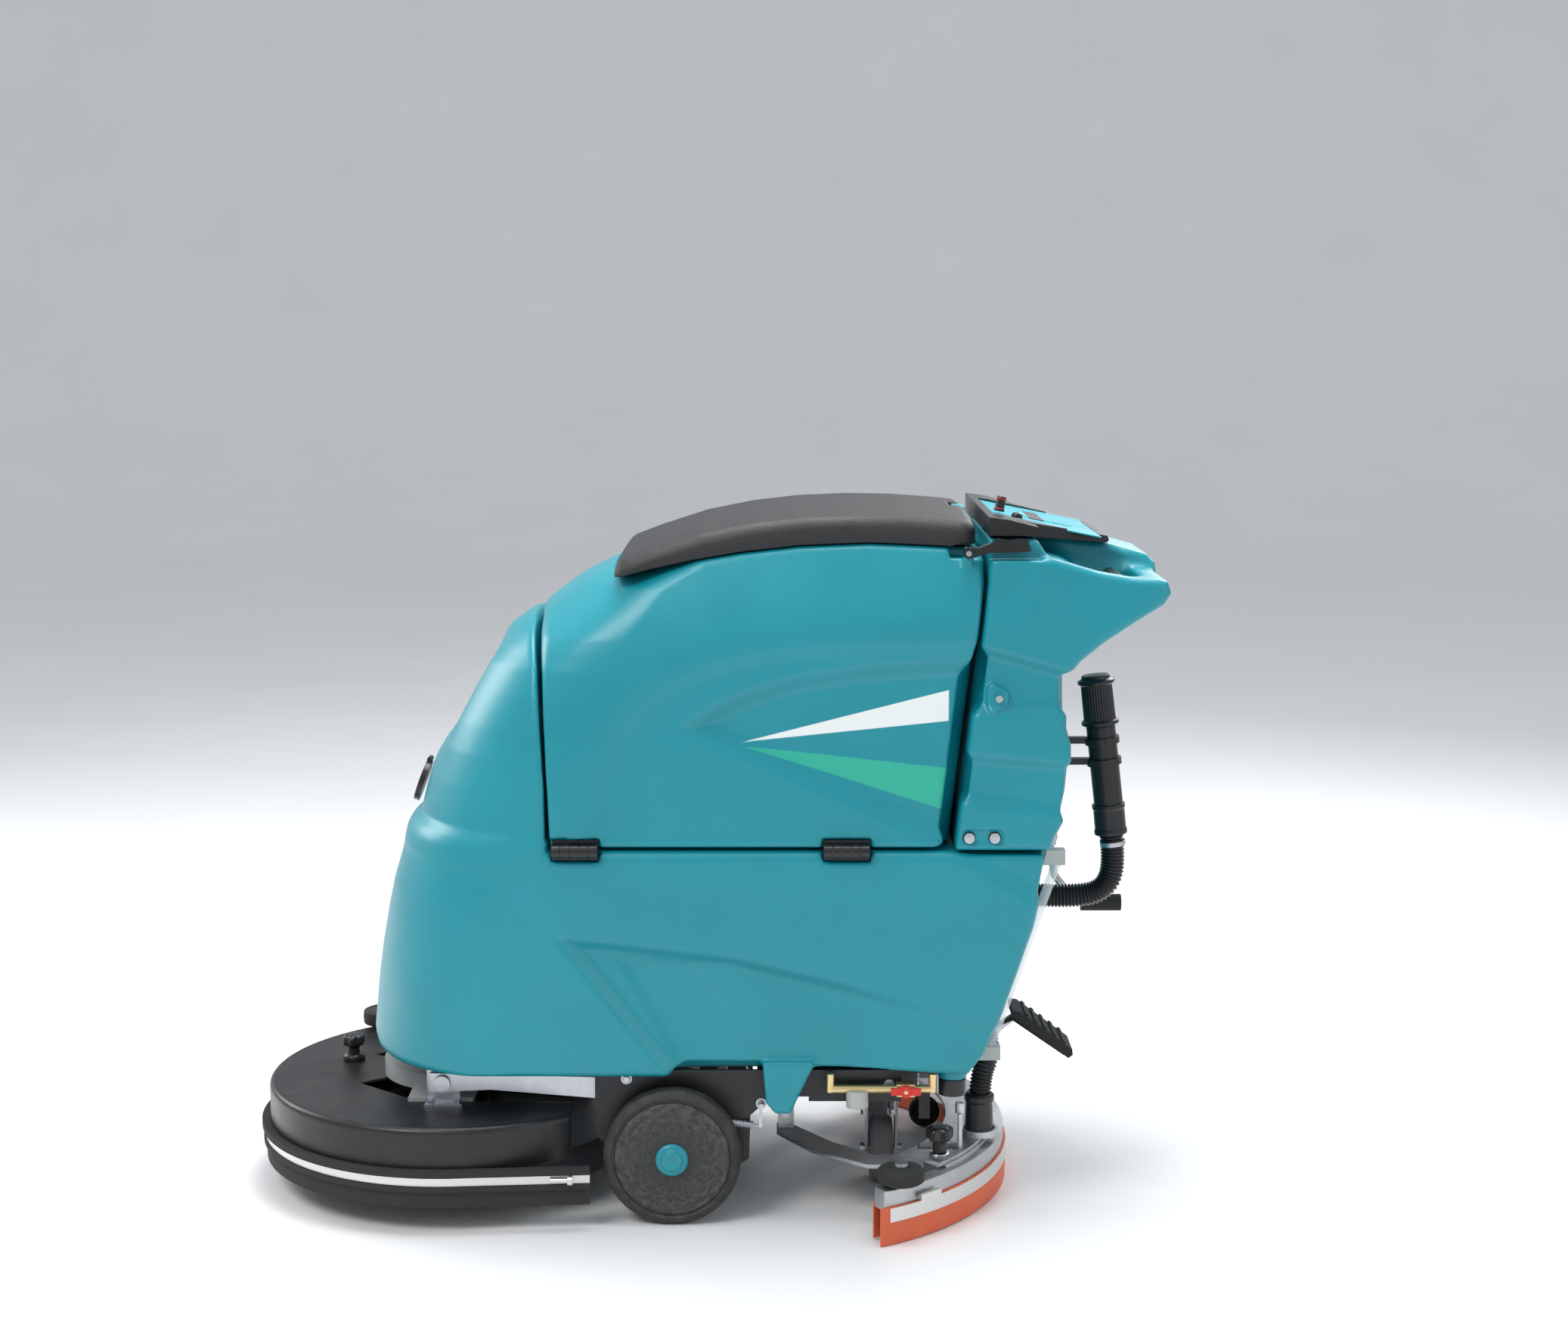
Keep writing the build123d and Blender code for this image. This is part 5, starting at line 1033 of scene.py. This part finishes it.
class SCRUBBER_OT_studio(Builder, bpy.types.Operator):
    """Lays a pale floor with a curved backdrop, sets the lights and the camera"""
    bl_idname = "scrubber.studio"
    bl_label = "Studio"

    def make(self, scene):
        camera = bpy.data.objects.new("camera", bpy.data.cameras.new("camera"))
        camera.data.lens = scene.scrubber_sizes.lens
        camera.data.sensor_width = 36
        camera.location = (0.129, -3.725, 1.315)
        camera.rotation_euler = (math.radians(81.8), 0, 0)
        scene.collection.objects.link(camera)
        scene.camera = camera
        profile = [(-26, 0.0), (0, 0.0)] + [(9 + 4 * math.sin(a), 4 - 4 * math.cos(a))
                                            for a in np.linspace(0, math.pi / 2, 24)] + [(13, 14)]
        points = [(x * 1000, y * 1000, z * 1000 - 0.3) for y, z in profile for x in (-30, 30)]
        faces = [(2 * i, 2 * i + 1, 2 * i + 3, 2 * i + 2) for i in range(len(profile) - 1)]
        floor = add_mesh("studio_floor", points, faces)
        finish = bpy.data.materials.new("studio_floor")
        finish.use_nodes = True
        tree = finish.node_tree
        shader = tree.nodes["Principled BSDF"]
        varied = effect(tree, "mottle", Scale=1.6, Speckle=60.0)
        tone = blend_colour(tree, varied.outputs["Cloud"], scaled(colours().floor, 0.97), colours().floor)
        tree.links.new(tone, shader.inputs["Base Color"])
        shader.inputs["Roughness"].default_value = 0.42
        floor.data.materials.append(finish)
        lights = [("key", (-2.0, -2.4, 3.6), 1.6, 78), ("fill", (3.2, -2.4, 1.6), 2.0, 16),
                  ("top", (0.1, 0.3, 3.4), 1.8, 88), ("rim", (1.8, 2.6, 2.4), 1.6, 42),
                  ("rim_left", (-3.0, 1.6, 1.8), 1.4, 34)]
        for name, spot, size, power in lights:
            lamp = bpy.data.lights.new(name, "AREA")
            lamp.shape = "SQUARE"
            lamp.size = size
            lamp.energy = power
            holder = bpy.data.objects.new(name, lamp)
            holder.location = spot
            holder.rotation_euler = (Vector((0, 0, 0.5)) - Vector(spot)).to_track_quat("-Z", "Y").to_euler()
            scene.collection.objects.link(holder)
        world = bpy.data.worlds.new("studio")
        world.use_nodes = True
        world.node_tree.nodes["Background"].inputs["Color"].default_value = (0.86, 0.90, 0.95, 1)
        world.node_tree.nodes["Background"].inputs["Strength"].default_value = 0.62
        scene.world = world
        scene.view_settings.view_transform = "Standard"
        scene.view_settings.look = "None"


class SCRUBBER_OT_lower_tank(Builder, bpy.types.Operator):
    """Moulds the lower tank with its rounded prow, side recesses, battery bay and filler"""
    bl_idname = "scrubber.lower_tank"
    bl_label = "Lower tank"

    def make(self, scene):
        low, high = TANK_LOW - Vector((4, 4, 4)), TANK_HIGH + Vector((4, 4, 4))
        shell = sculpt("lower_tank_shell", lower_tank_field, low, high, scene.scrubber_sizes.tank_pitch)
        place(shell, "chassis", "tank_teal", "teal_plastic", "lower_tank")
        dress("batteries", "battery_case", 3.0)
        dress("filler_cap", "black_moulded", 0.6)


class SCRUBBER_OT_recovery_tank(Builder, bpy.types.Operator):
    """Moulds the tilting recovery tank with its arrow shaped recess"""
    bl_idname = "scrubber.recovery_tank"
    bl_label = "Recovery tank"

    def make(self, scene):
        low, high = corners("recovery_tank")
        shell = sculpt("recovery_tank_shell", recovery_tank_field, low - Vector((4, 4, 4)),
                       high + Vector((4, 4, 4)), scene.scrubber_sizes.tank_pitch)
        place(shell, "recovery_tank", "tank_teal_striped", "teal_plastic", "recovery_tank")
        dress("float_valve", "milky_plastic", 0.5)
        dress("lid_gasket", "black_rubber", 0.5)
        dress("tank_hinge_lower", "black_moulded", 0.8)
        dress("tank_hinge_upper", "black_moulded", 0.8)
        dress("hinge_pins", "zinc", 0.3)
        dress("tank_latch", "black_moulded", 1.6)


class SCRUBBER_OT_tank_lid(Builder, bpy.types.Operator):
    """Moulds the grained lid of the recovery tank"""
    bl_idname = "scrubber.tank_lid"
    bl_label = "Tank lid"

    def make(self, scene):
        shell = sculpt("tank_lid_shell", lid_field, LID_LOW - Vector((3, 3, 3)),
                       LID_HIGH + Vector((3, 3, 3)),
                       scene.scrubber_sizes.fine_pitch)
        place(shell, "tank_lid", "lid_grain", "charcoal_plastic", "tank_lid")


class SCRUBBER_OT_control_housing(Builder, bpy.types.Operator):
    """Moulds the control housing with its shoulders, finger openings and side facets"""
    bl_idname = "scrubber.control_housing"
    bl_label = "Control housing"

    def make(self, scene):
        shell = sculpt("control_housing_shell", housing_field, HOUSING_LOW - Vector((3, 3, 3)),
                       HOUSING_HIGH + Vector((3, 3, 3)), scene.scrubber_sizes.fine_pitch)
        place(shell, "chassis", "tank_teal", "teal_plastic", "control_housing")
        dress("vacuum_motor", "motor_enamel", 1.5)
        dress("drive_lever", "black_moulded", 1.5)
        dress("lever_brackets", "zinc", 0.4)
        dress("lift_lever", "zinc", 0.6, [("black_rubber", lambda c: c.x > 589 and c.z < 416)])
        dress("housing_screws", "zinc", 0.4)
        for name, side in SIDES:
            for spot in (392.0, 428.0):
                washer = turned_ring(f"screw_cup_{name}_{spot:.0f}", (spot, side * 254.2, 570),
                                     (0, side, 0),
                                     rounded_loop([(0, 5.0), (0, 9.2), (2.0, 7.6), (2.2, 5.0)], 0.5), 40)
                place(washer, "chassis", "black_moulded", "black_plastic")


class SCRUBBER_OT_control_panel(Builder, bpy.types.Operator):
    """Finishes the bezel and panel and makes the speed knob and the button"""
    bl_idname = "scrubber.control_panel"
    bl_label = "Control panel"

    def make(self, scene):
        dress("panel_bezel", "black_moulded", 1.6)
        dress("panel_plate", "panel_teal", 0.5)
        for number, along in enumerate((500.0, 536.0, 568.0)):
            height = middle("panel_bezel").z
            bar = sculpt(f"display_bar_{number}", lambda x, y, z, a=along: brick(
                x, y, z + (x - a) * 0.2 - (1009.0 - (a - 486) * 0.228), (a - 12, -66, -2), (a + 12, 66, 1.4), 1.2),
                (along - 14, -68, height - 34), (along + 14, 68, height + 34), 0.0014)
            place(bar, "chassis", "black_gloss", "black_plastic")
        slope = (38, 0, 190)
        unit = np.array(Vector(slope).normalized())
        centre = np.array(middle("speed_knob"))
        foot = centre - unit * 11
        profile = rounded([(0, 0.1), (0, 8.0), (3.0, 8.0), (4.0, 7.1), (17.0, 6.6), (18.4, 7.4),
                           (21.0, 7.2),
                           (22.0, 6.0), (22.0, 0.1)], 0.5)
        knob = turned("speed_knob_body", foot, slope, profile, steps=96,
                      flute=lambda a, h: 1 - 0.04 * (0.5 - 0.5 * np.cos(24 * a)) * float(4 < h < 17))
        place(knob, "speed_knob", "black_moulded", "red_plastic", "speed_knob")
        for label, at in (("low", 3.2), ("high", 17.4)):
            ring = turned_ring(f"speed_knob_ring_{label}", foot + unit * at, slope,
                               rounded_loop([(0, 6.0), (0, 7.7), (1.6, 7.7), (1.6, 6.0)], 0.4), 64)
            place(ring, "speed_knob", "red_gloss", "red_plastic")
        low, high = corners("panel_button")
        spot = np.array(middle("panel_button"))
        button = turned("button_dome", spot - unit * (high.z - low.z) * 0.42, slope,
                        rounded([(0, 0.1), (0, 8.4), (6, 8.4), (9.0, 6.6), (10.4, 3.5), (10.7, 0.1)], 1.2,
                                5), 56)
        place(button, "panel_button", "black_gloss", "black_plastic", "panel_button")


class SCRUBBER_OT_water_parts(Builder, bpy.types.Operator):
    """Finishes the level tube and water filter and makes the butterfly valve's details"""
    bl_idname = "scrubber.water_parts"
    bl_label = "Water parts"

    def make(self, scene):
        dress("level_tube", "clear_plastic", 0.2)
        dress("water_fittings", "milky_plastic", 0.8)
        dress("valve_body", "brass", 0.5)
        dress("valve_handle", "red_gloss", 0.9)
        low, _ = corners("valve_handle")
        spot = middle("valve_handle")
        screw = turned("valve_screw", (spot.x, low.y + 0.6, spot.z), (0, -1, 0),
                       rounded([(0, 0.1), (0, 3.2), (0.9, 2.7), (1.2, 0.1)], 0.4), 32)
        place(screw, "valve_handle", "brass", "brass")


class SCRUBBER_OT_drain_line(Builder, bpy.types.Operator):
    """Makes the drain hose with its ribbed elbow, its cap and the clips"""
    bl_idname = "scrubber.drain_line"
    bl_label = "Drain line"

    def make(self, scene):
        dress("plastic_fittings", "black_moulded", 0.9)
        y = middle("drain_hose").y
        top, bend = np.array((604, y, 696)), np.array((620, y, 561))
        straight = tube("drain_tube", [top, (612, y, 628), bend], 21.8, 4.0, 56)
        place(straight, "chassis", "black_moulded", "black_plastic", "drain_hose")
        cuff = turned("drain_cuff", (618, y, 575), (5, 0, -47),
                      rounded([(0, 22), (0, 24.9), (6, 24.9), (8, 23.6), (38, 23.6), (40, 24.9),
                               (46, 24.9),
                               (47, 20)], 1.0))
        place(cuff, "chassis", "black_moulded", "black_plastic")
        elbow = corrugated("drain_elbow", [(623, y, 530), (629, y, 484), (617, y, 444), (574, y, 430),
                                           (502, y, 434)],
                           18.2, 15.4)
        place(elbow, "chassis", "black_moulded", "black_plastic")
        foot = np.array((603.8, y, 696.3))
        along = np.array((-9.0, 0.0, 75.7))
        cap = turned("drain_cap_ribbed", foot, along,
                     rounded([(0.2, 0.1), (0.2, 27.8), (5, 28), (8, 24.0), (60, 23.4), (63, 27.6),
                              (67, 27.6),
                              (70, 21.8), (75, 20.8), (76, 0.1)], 1.2), steps=216,
                     flute=lambda a, h: 1 - 0.045 * (0.5 - 0.5 * np.cos(36 * a)) ** 2 * float(7 < h < 61))
        place(cap, "drain_cap", "black_moulded", "black_plastic", "drain_cap")
        band = turned_ring("drain_band", (625.2, y, 518), (1, 0, -9),
                           rounded_loop([(0, 18.3), (0, 19.6), (7, 19.6), (7, 18.3)], 0.4), 60)
        place(band, "chassis", "zinc", "zinc_steel")


class SCRUBBER_OT_frame(Builder, bpy.types.Operator):
    """Finishes the frame, axle, drive motor and lift mechanism and adds the spring"""
    bl_idname = "scrubber.frame"
    bl_label = "Frame"

    def make(self, scene):
        dress("chassis_frame", "black_coat", 0.8)
        dress("frame_hardware", "zinc", 0.6)
        dress("drive_axle", "zinc", 0.5)
        dress("drive_motor", "motor_enamel", 1.5)
        dress("lift_frame", "zinc", 0.8)
        dress("deck_pedal", "black_rubber", 1.2, [("zinc", lambda c: c.x < 470)])
        for number, t in enumerate((0.12, 0.30, 0.48, 0.66, 0.84)):
            x, z = 492 + 80 * t, 246 - 59 * t
            rib = plate(f"pedal_rib_{number}", [(x - 4.6, z + 2.4), (x - 2.4, z + 5.6),
                                                (x + 2.6, z + 1.9),
                                                (x + 1.8, z - 3.0)], "Y", -14, 72, 0.8)
            place(rib, "deck_pedal", "black_rubber", "black_rubber")
        spring = coil("frame_spring", (53, -225, 140.8), (83, -225, 137.2), 5.0, 1.0, 11)
        place(spring, "chassis", "zinc", "zinc_steel")
        for number, spot in enumerate(((-100, 205), (96, 168), (140, 196), (282, 196))):
            for name, side in SIDES:
                head = hexagon(f"frame_bolt_{name}_{number}", (spot[0], side * 219.2, spot[1]),
                               (0, side, 0),
                               10.0, 5.0, 1.4)
                place(head, "chassis", "zinc", "zinc_steel")


class SCRUBBER_OT_drive_wheels(Builder, bpy.types.Operator):
    """Turns the two drive wheels with their grooved tyres, dusty discs and teal caps"""
    bl_idname = "scrubber.drive_wheels"
    bl_label = "Drive wheels"

    def make(self, scene):
        for name, side in SIDES:
            low, high = corners(f"wheel_{name}")
            spot = (low + high) / 2
            centre = (spot.x, side * WHEEL_INNER_Y, spot.z)
            tyre = turned_ring(f"tyre_{name}", centre, (0, side, 0),
                               rounded_loop([(0, 84), (1, 92), (7, 99.6), (31, 99.8), (36.5, 94),
                                             (38, 88.5),
                                             (36.0, 86.8), (36.4, 84)], 1.6, 3), 128)
            disc = turned(f"wheel_disc_{name}", centre, (0, side, 0),
                          rounded([(2, 20), (2, 83.8), (36.2, 83.8), (38.8, 81), (38.9, 60), (37.6, 40),
                                   (38.8, 26),
                                   (38.8, 12)], 1.6), 128)
            cap = turned(f"wheel_cap_{name}", centre, (0, side, 0),
                         rounded([(36, 0.1), (36, 23.8), (42.0, 23.6), (44.8, 20.6), (44.2, 17.4),
                                  (45.2, 15.6),
                                  (47.6, 14.2), (47.9, 9.0), (46.8, 6.0), (46.8, 0.1)], 0.9), 72)
            place(tyre, f"wheel_{name}", "tyre_rubber", "wheel_rubber", f"wheel_{name}")
            place(disc, f"wheel_{name}", "wheel_disc", "wheel_rubber")
            place(cap, f"wheel_{name}", "tank_teal", "teal_plastic")


class SCRUBBER_OT_casters(Builder, bpy.types.Operator):
    """Finishes the caster forks and turns their wheels"""
    bl_idname = "scrubber.casters"
    bl_label = "Casters"

    def make(self, scene):
        for name, side in SIDES:
            dress(f"caster_fork_{name}", "zinc", 0.8)
            spot = middle(f"caster_wheel_{name}")
            wheel = turned(f"caster_tyre_{name}", (spot.x - 18, spot.y, spot.z), (1, 0, 0),
                           rounded([(0.2, 7), (0.2, 20), (2.6, 22), (2.6, 35), (0.4, 37.5), (1.2, 45),
                                    (6, 49.6),
                                    (30, 49.6), (34.8, 45), (35.6, 37.5), (33.4, 35), (33.4, 22),
                                    (35.8, 20),
                                    (35.8, 7)], 1.4), 96)
            place(wheel, f"caster_{name}_wheel" if f"caster_{name}_wheel" in frame["bodies"]
                  else f"caster_wheel_{name}", "grey_rubber", "grey_rubber", f"caster_wheel_{name}")


class SCRUBBER_OT_deck(Builder, bpy.types.Operator):
    """Presses the round deck and finishes its skirt, band, brush and motor"""
    bl_idname = "scrubber.deck"
    bl_label = "Deck"

    def make(self, scene):
        low, high = corners("deck_plate")
        shell = sculpt("deck_shell", deck_field, low - Vector((3, 3, 3)), high + Vector((3, 3, 3)),
                       scene.scrubber_sizes.fine_pitch)
        place(shell, "deck", "black_coat", "black_paint", "deck_plate")
        dress("deck_skirt", "black_rubber", 1.2)
        dress("skirt_band", "stainless", 0.3)
        dress("deck_brackets", "zinc", 0.6)
        dress("brush_motor", "motor_enamel", 1.6)
        dress("pad_driver", "black_moulded", 1.0)
        dress("brush_bristles", "bristles", 0.4)
        low, high = corners("deck_knob")
        spot = (low + high) / 2
        base = turned("deck_knob_base", (spot.x, spot.y, low.z + 0.2), (0, 0, 1),
                      rounded([(0, 0.1), (0, 17.3), (7, 16.8), (11, 12), (12, 0.1)], 1.5))
        place(base, "deck", "black_moulded", "black_plastic", "deck_knob")
        knob = fluted_knob("deck_knob_head", (spot.x, spot.y, low.z + 8), 18.0, high.z - low.z - 8.2, 6,
                           0.17)
        place(knob, "deck", "black_moulded", "black_plastic")
        low, high = corners("deck_roller")
        spot = (low + high) / 2
        thick = high.z - low.z
        roller = turned("deck_roller_tyre", (spot.x, spot.y, low.z), (0, 0, 1),
                        rounded([(0.2, 5), (0.2, 27), (3, 33.8), (thick / 2, 34.8), (thick - 3, 33.8),
                                 (thick - 0.2, 27), (thick - 2.4, 24), (thick - 2.4, 14),
                                 (thick - 0.2, 12),
                                 (thick - 0.2, 5)], 1.4))
        place(roller, "deck_roller", "black_rubber", "black_rubber", "deck_roller")


class SCRUBBER_OT_squeegee(Builder, bpy.types.Operator):
    """Finishes the curved squeegee, turns its knobs and rollers and makes the suction hose"""
    bl_idname = "scrubber.squeegee"
    bl_label = "Squeegee"

    def make(self, scene):
        dress("squeegee_carrier", "cast_metal", 1.0)
        dress("squeegee_body", "cast_metal", 2.0)
        dress("squeegee_blades", "blade_rubber", 0.5)
        dress("blade_straps", "stainless", 0.4)
        dress("squeegee_hardware", "zinc", 0.5)
        _, high = corners("squeegee_knobs")
        for name, side in SIDES:
            x = SQUEEGEE_CENTRE_X + KNOB_RADIUS * math.cos(KNOB_ANGLE)
            y = side * KNOB_RADIUS * math.sin(KNOB_ANGLE)
            washer = turned(f"knob_washer_{name}", (x, y, 90.2), (0, 0, 1),
                            rounded([(0, 0.1), (0, 15), (2.2, 15), (3.0, 10), (3.0, 0.1)], 0.7), 56)
            place(washer, "squeegee", "chrome", "zinc_steel")
            knob = fluted_knob(f"squeegee_knob_{name}", (x, y, 93.4), 21.0, high.z - 93.6, 5, 0.26)
            place(knob, "squeegee", "black_moulded", "black_plastic",
                  *(["squeegee_knobs"] if side < 0 else []))
            for kind, finish in (("squeegee_roller", "black_rubber"), ("support_wheel", "black_rubber")):
                node_name = f"{kind}_{name}"
                low_one, high_one = corners(node_name)
                size = high_one - low_one
                spot = (low_one + high_one) / 2
                if kind == "squeegee_roller":
                    start, axis, wide, radius = (spot.x, spot.y, low_one.z), (0, 0, 1), size.z, size.x / 2
                else:
                    start, axis, wide, radius = (spot.x, low_one.y, spot.z), (0, 1, 0), size.y, size.x / 2
                wheel = turned(f"{node_name}_tyre", start, axis,
                               rounded([(0.2, 3.5), (0.2, radius * 0.55), (1.6, radius * 0.6),
                                        (0.6, radius * 0.82), (wide * 0.2, radius - 0.3),
                                        (wide * 0.8, radius - 0.3), (wide - 0.6, radius * 0.82),
                                        (wide - 1.6, radius * 0.6), (wide - 0.2, radius * 0.55),
                                        (wide - 0.2, 3.5)], 1.2), 72)
                place(wheel, node_name, finish, "black_rubber", node_name)
        hose = corrugated("suction_hose_ribbed",
                          [(421, -122, 140), (423, -118, 176), (437, -101, 208), (434, -90, 238)],
                          17.0, 14.4)
        hose.data.materials.append(material("black_moulded"))
        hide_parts("suction_hose")
        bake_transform(hose)
        cuff = turned("suction_cuff", (421, -122, 90.3), (0, 0, 1),
                      rounded([(0, 0.1), (0, 22.6), (8, 22.6), (10, 21.2), (50, 20.2), (52, 22.4),
                               (60, 22.4),
                               (63.5, 19), (63.5, 0.1)], 1.0))
        place(cuff, "squeegee", "black_moulded", "black_plastic")


BUILDERS = (SCRUBBER_OT_studio, SCRUBBER_OT_lower_tank, SCRUBBER_OT_recovery_tank, SCRUBBER_OT_tank_lid,
            SCRUBBER_OT_control_housing, SCRUBBER_OT_control_panel, SCRUBBER_OT_water_parts,
            SCRUBBER_OT_drain_line, SCRUBBER_OT_frame, SCRUBBER_OT_drive_wheels, SCRUBBER_OT_casters,
            SCRUBBER_OT_deck, SCRUBBER_OT_squeegee)


class SCRUBBER_PT_panel(bpy.types.Panel):
    """Lists what can be changed and the pieces that can be built"""
    bl_idname = "SCRUBBER_PT_panel"
    bl_label = "Floor scrubber"
    bl_space_type = "VIEW_3D"
    bl_region_type = "UI"
    bl_category = "Scrubber"

    def draw(self, context):
        for settings in (context.scene.scrubber_colours, context.scene.scrubber_sizes):
            box = self.layout.box()
            for name in settings.__annotations__:
                box.prop(settings, name)
        for builder in BUILDERS:
            self.layout.operator(builder.bl_idname)


CLASSES = (ScrubberColours, ScrubberSizes, *BUILDERS, SCRUBBER_PT_panel)


def register():
    for made in CLASSES:
        bpy.utils.register_class(made)
    bpy.types.Scene.scrubber_colours = PointerProperty(type=ScrubberColours)
    bpy.types.Scene.scrubber_sizes = PointerProperty(type=ScrubberSizes)


def unregister():
    del bpy.types.Scene.scrubber_sizes
    del bpy.types.Scene.scrubber_colours
    for made in reversed(CLASSES):
        bpy.utils.unregister_class(made)


def main():
    register()
    bpy.ops.scrubber.studio()
    bpy.ops.scrubber.lower_tank()
    bpy.ops.scrubber.recovery_tank()
    bpy.ops.scrubber.tank_lid()
    bpy.ops.scrubber.control_housing()
    bpy.ops.scrubber.control_panel()
    bpy.ops.scrubber.water_parts()
    bpy.ops.scrubber.drain_line()
    bpy.ops.scrubber.frame()
    bpy.ops.scrubber.drive_wheels()
    bpy.ops.scrubber.casters()
    bpy.ops.scrubber.deck()
    bpy.ops.scrubber.squeegee()


if __name__ == "__main__":
    main()
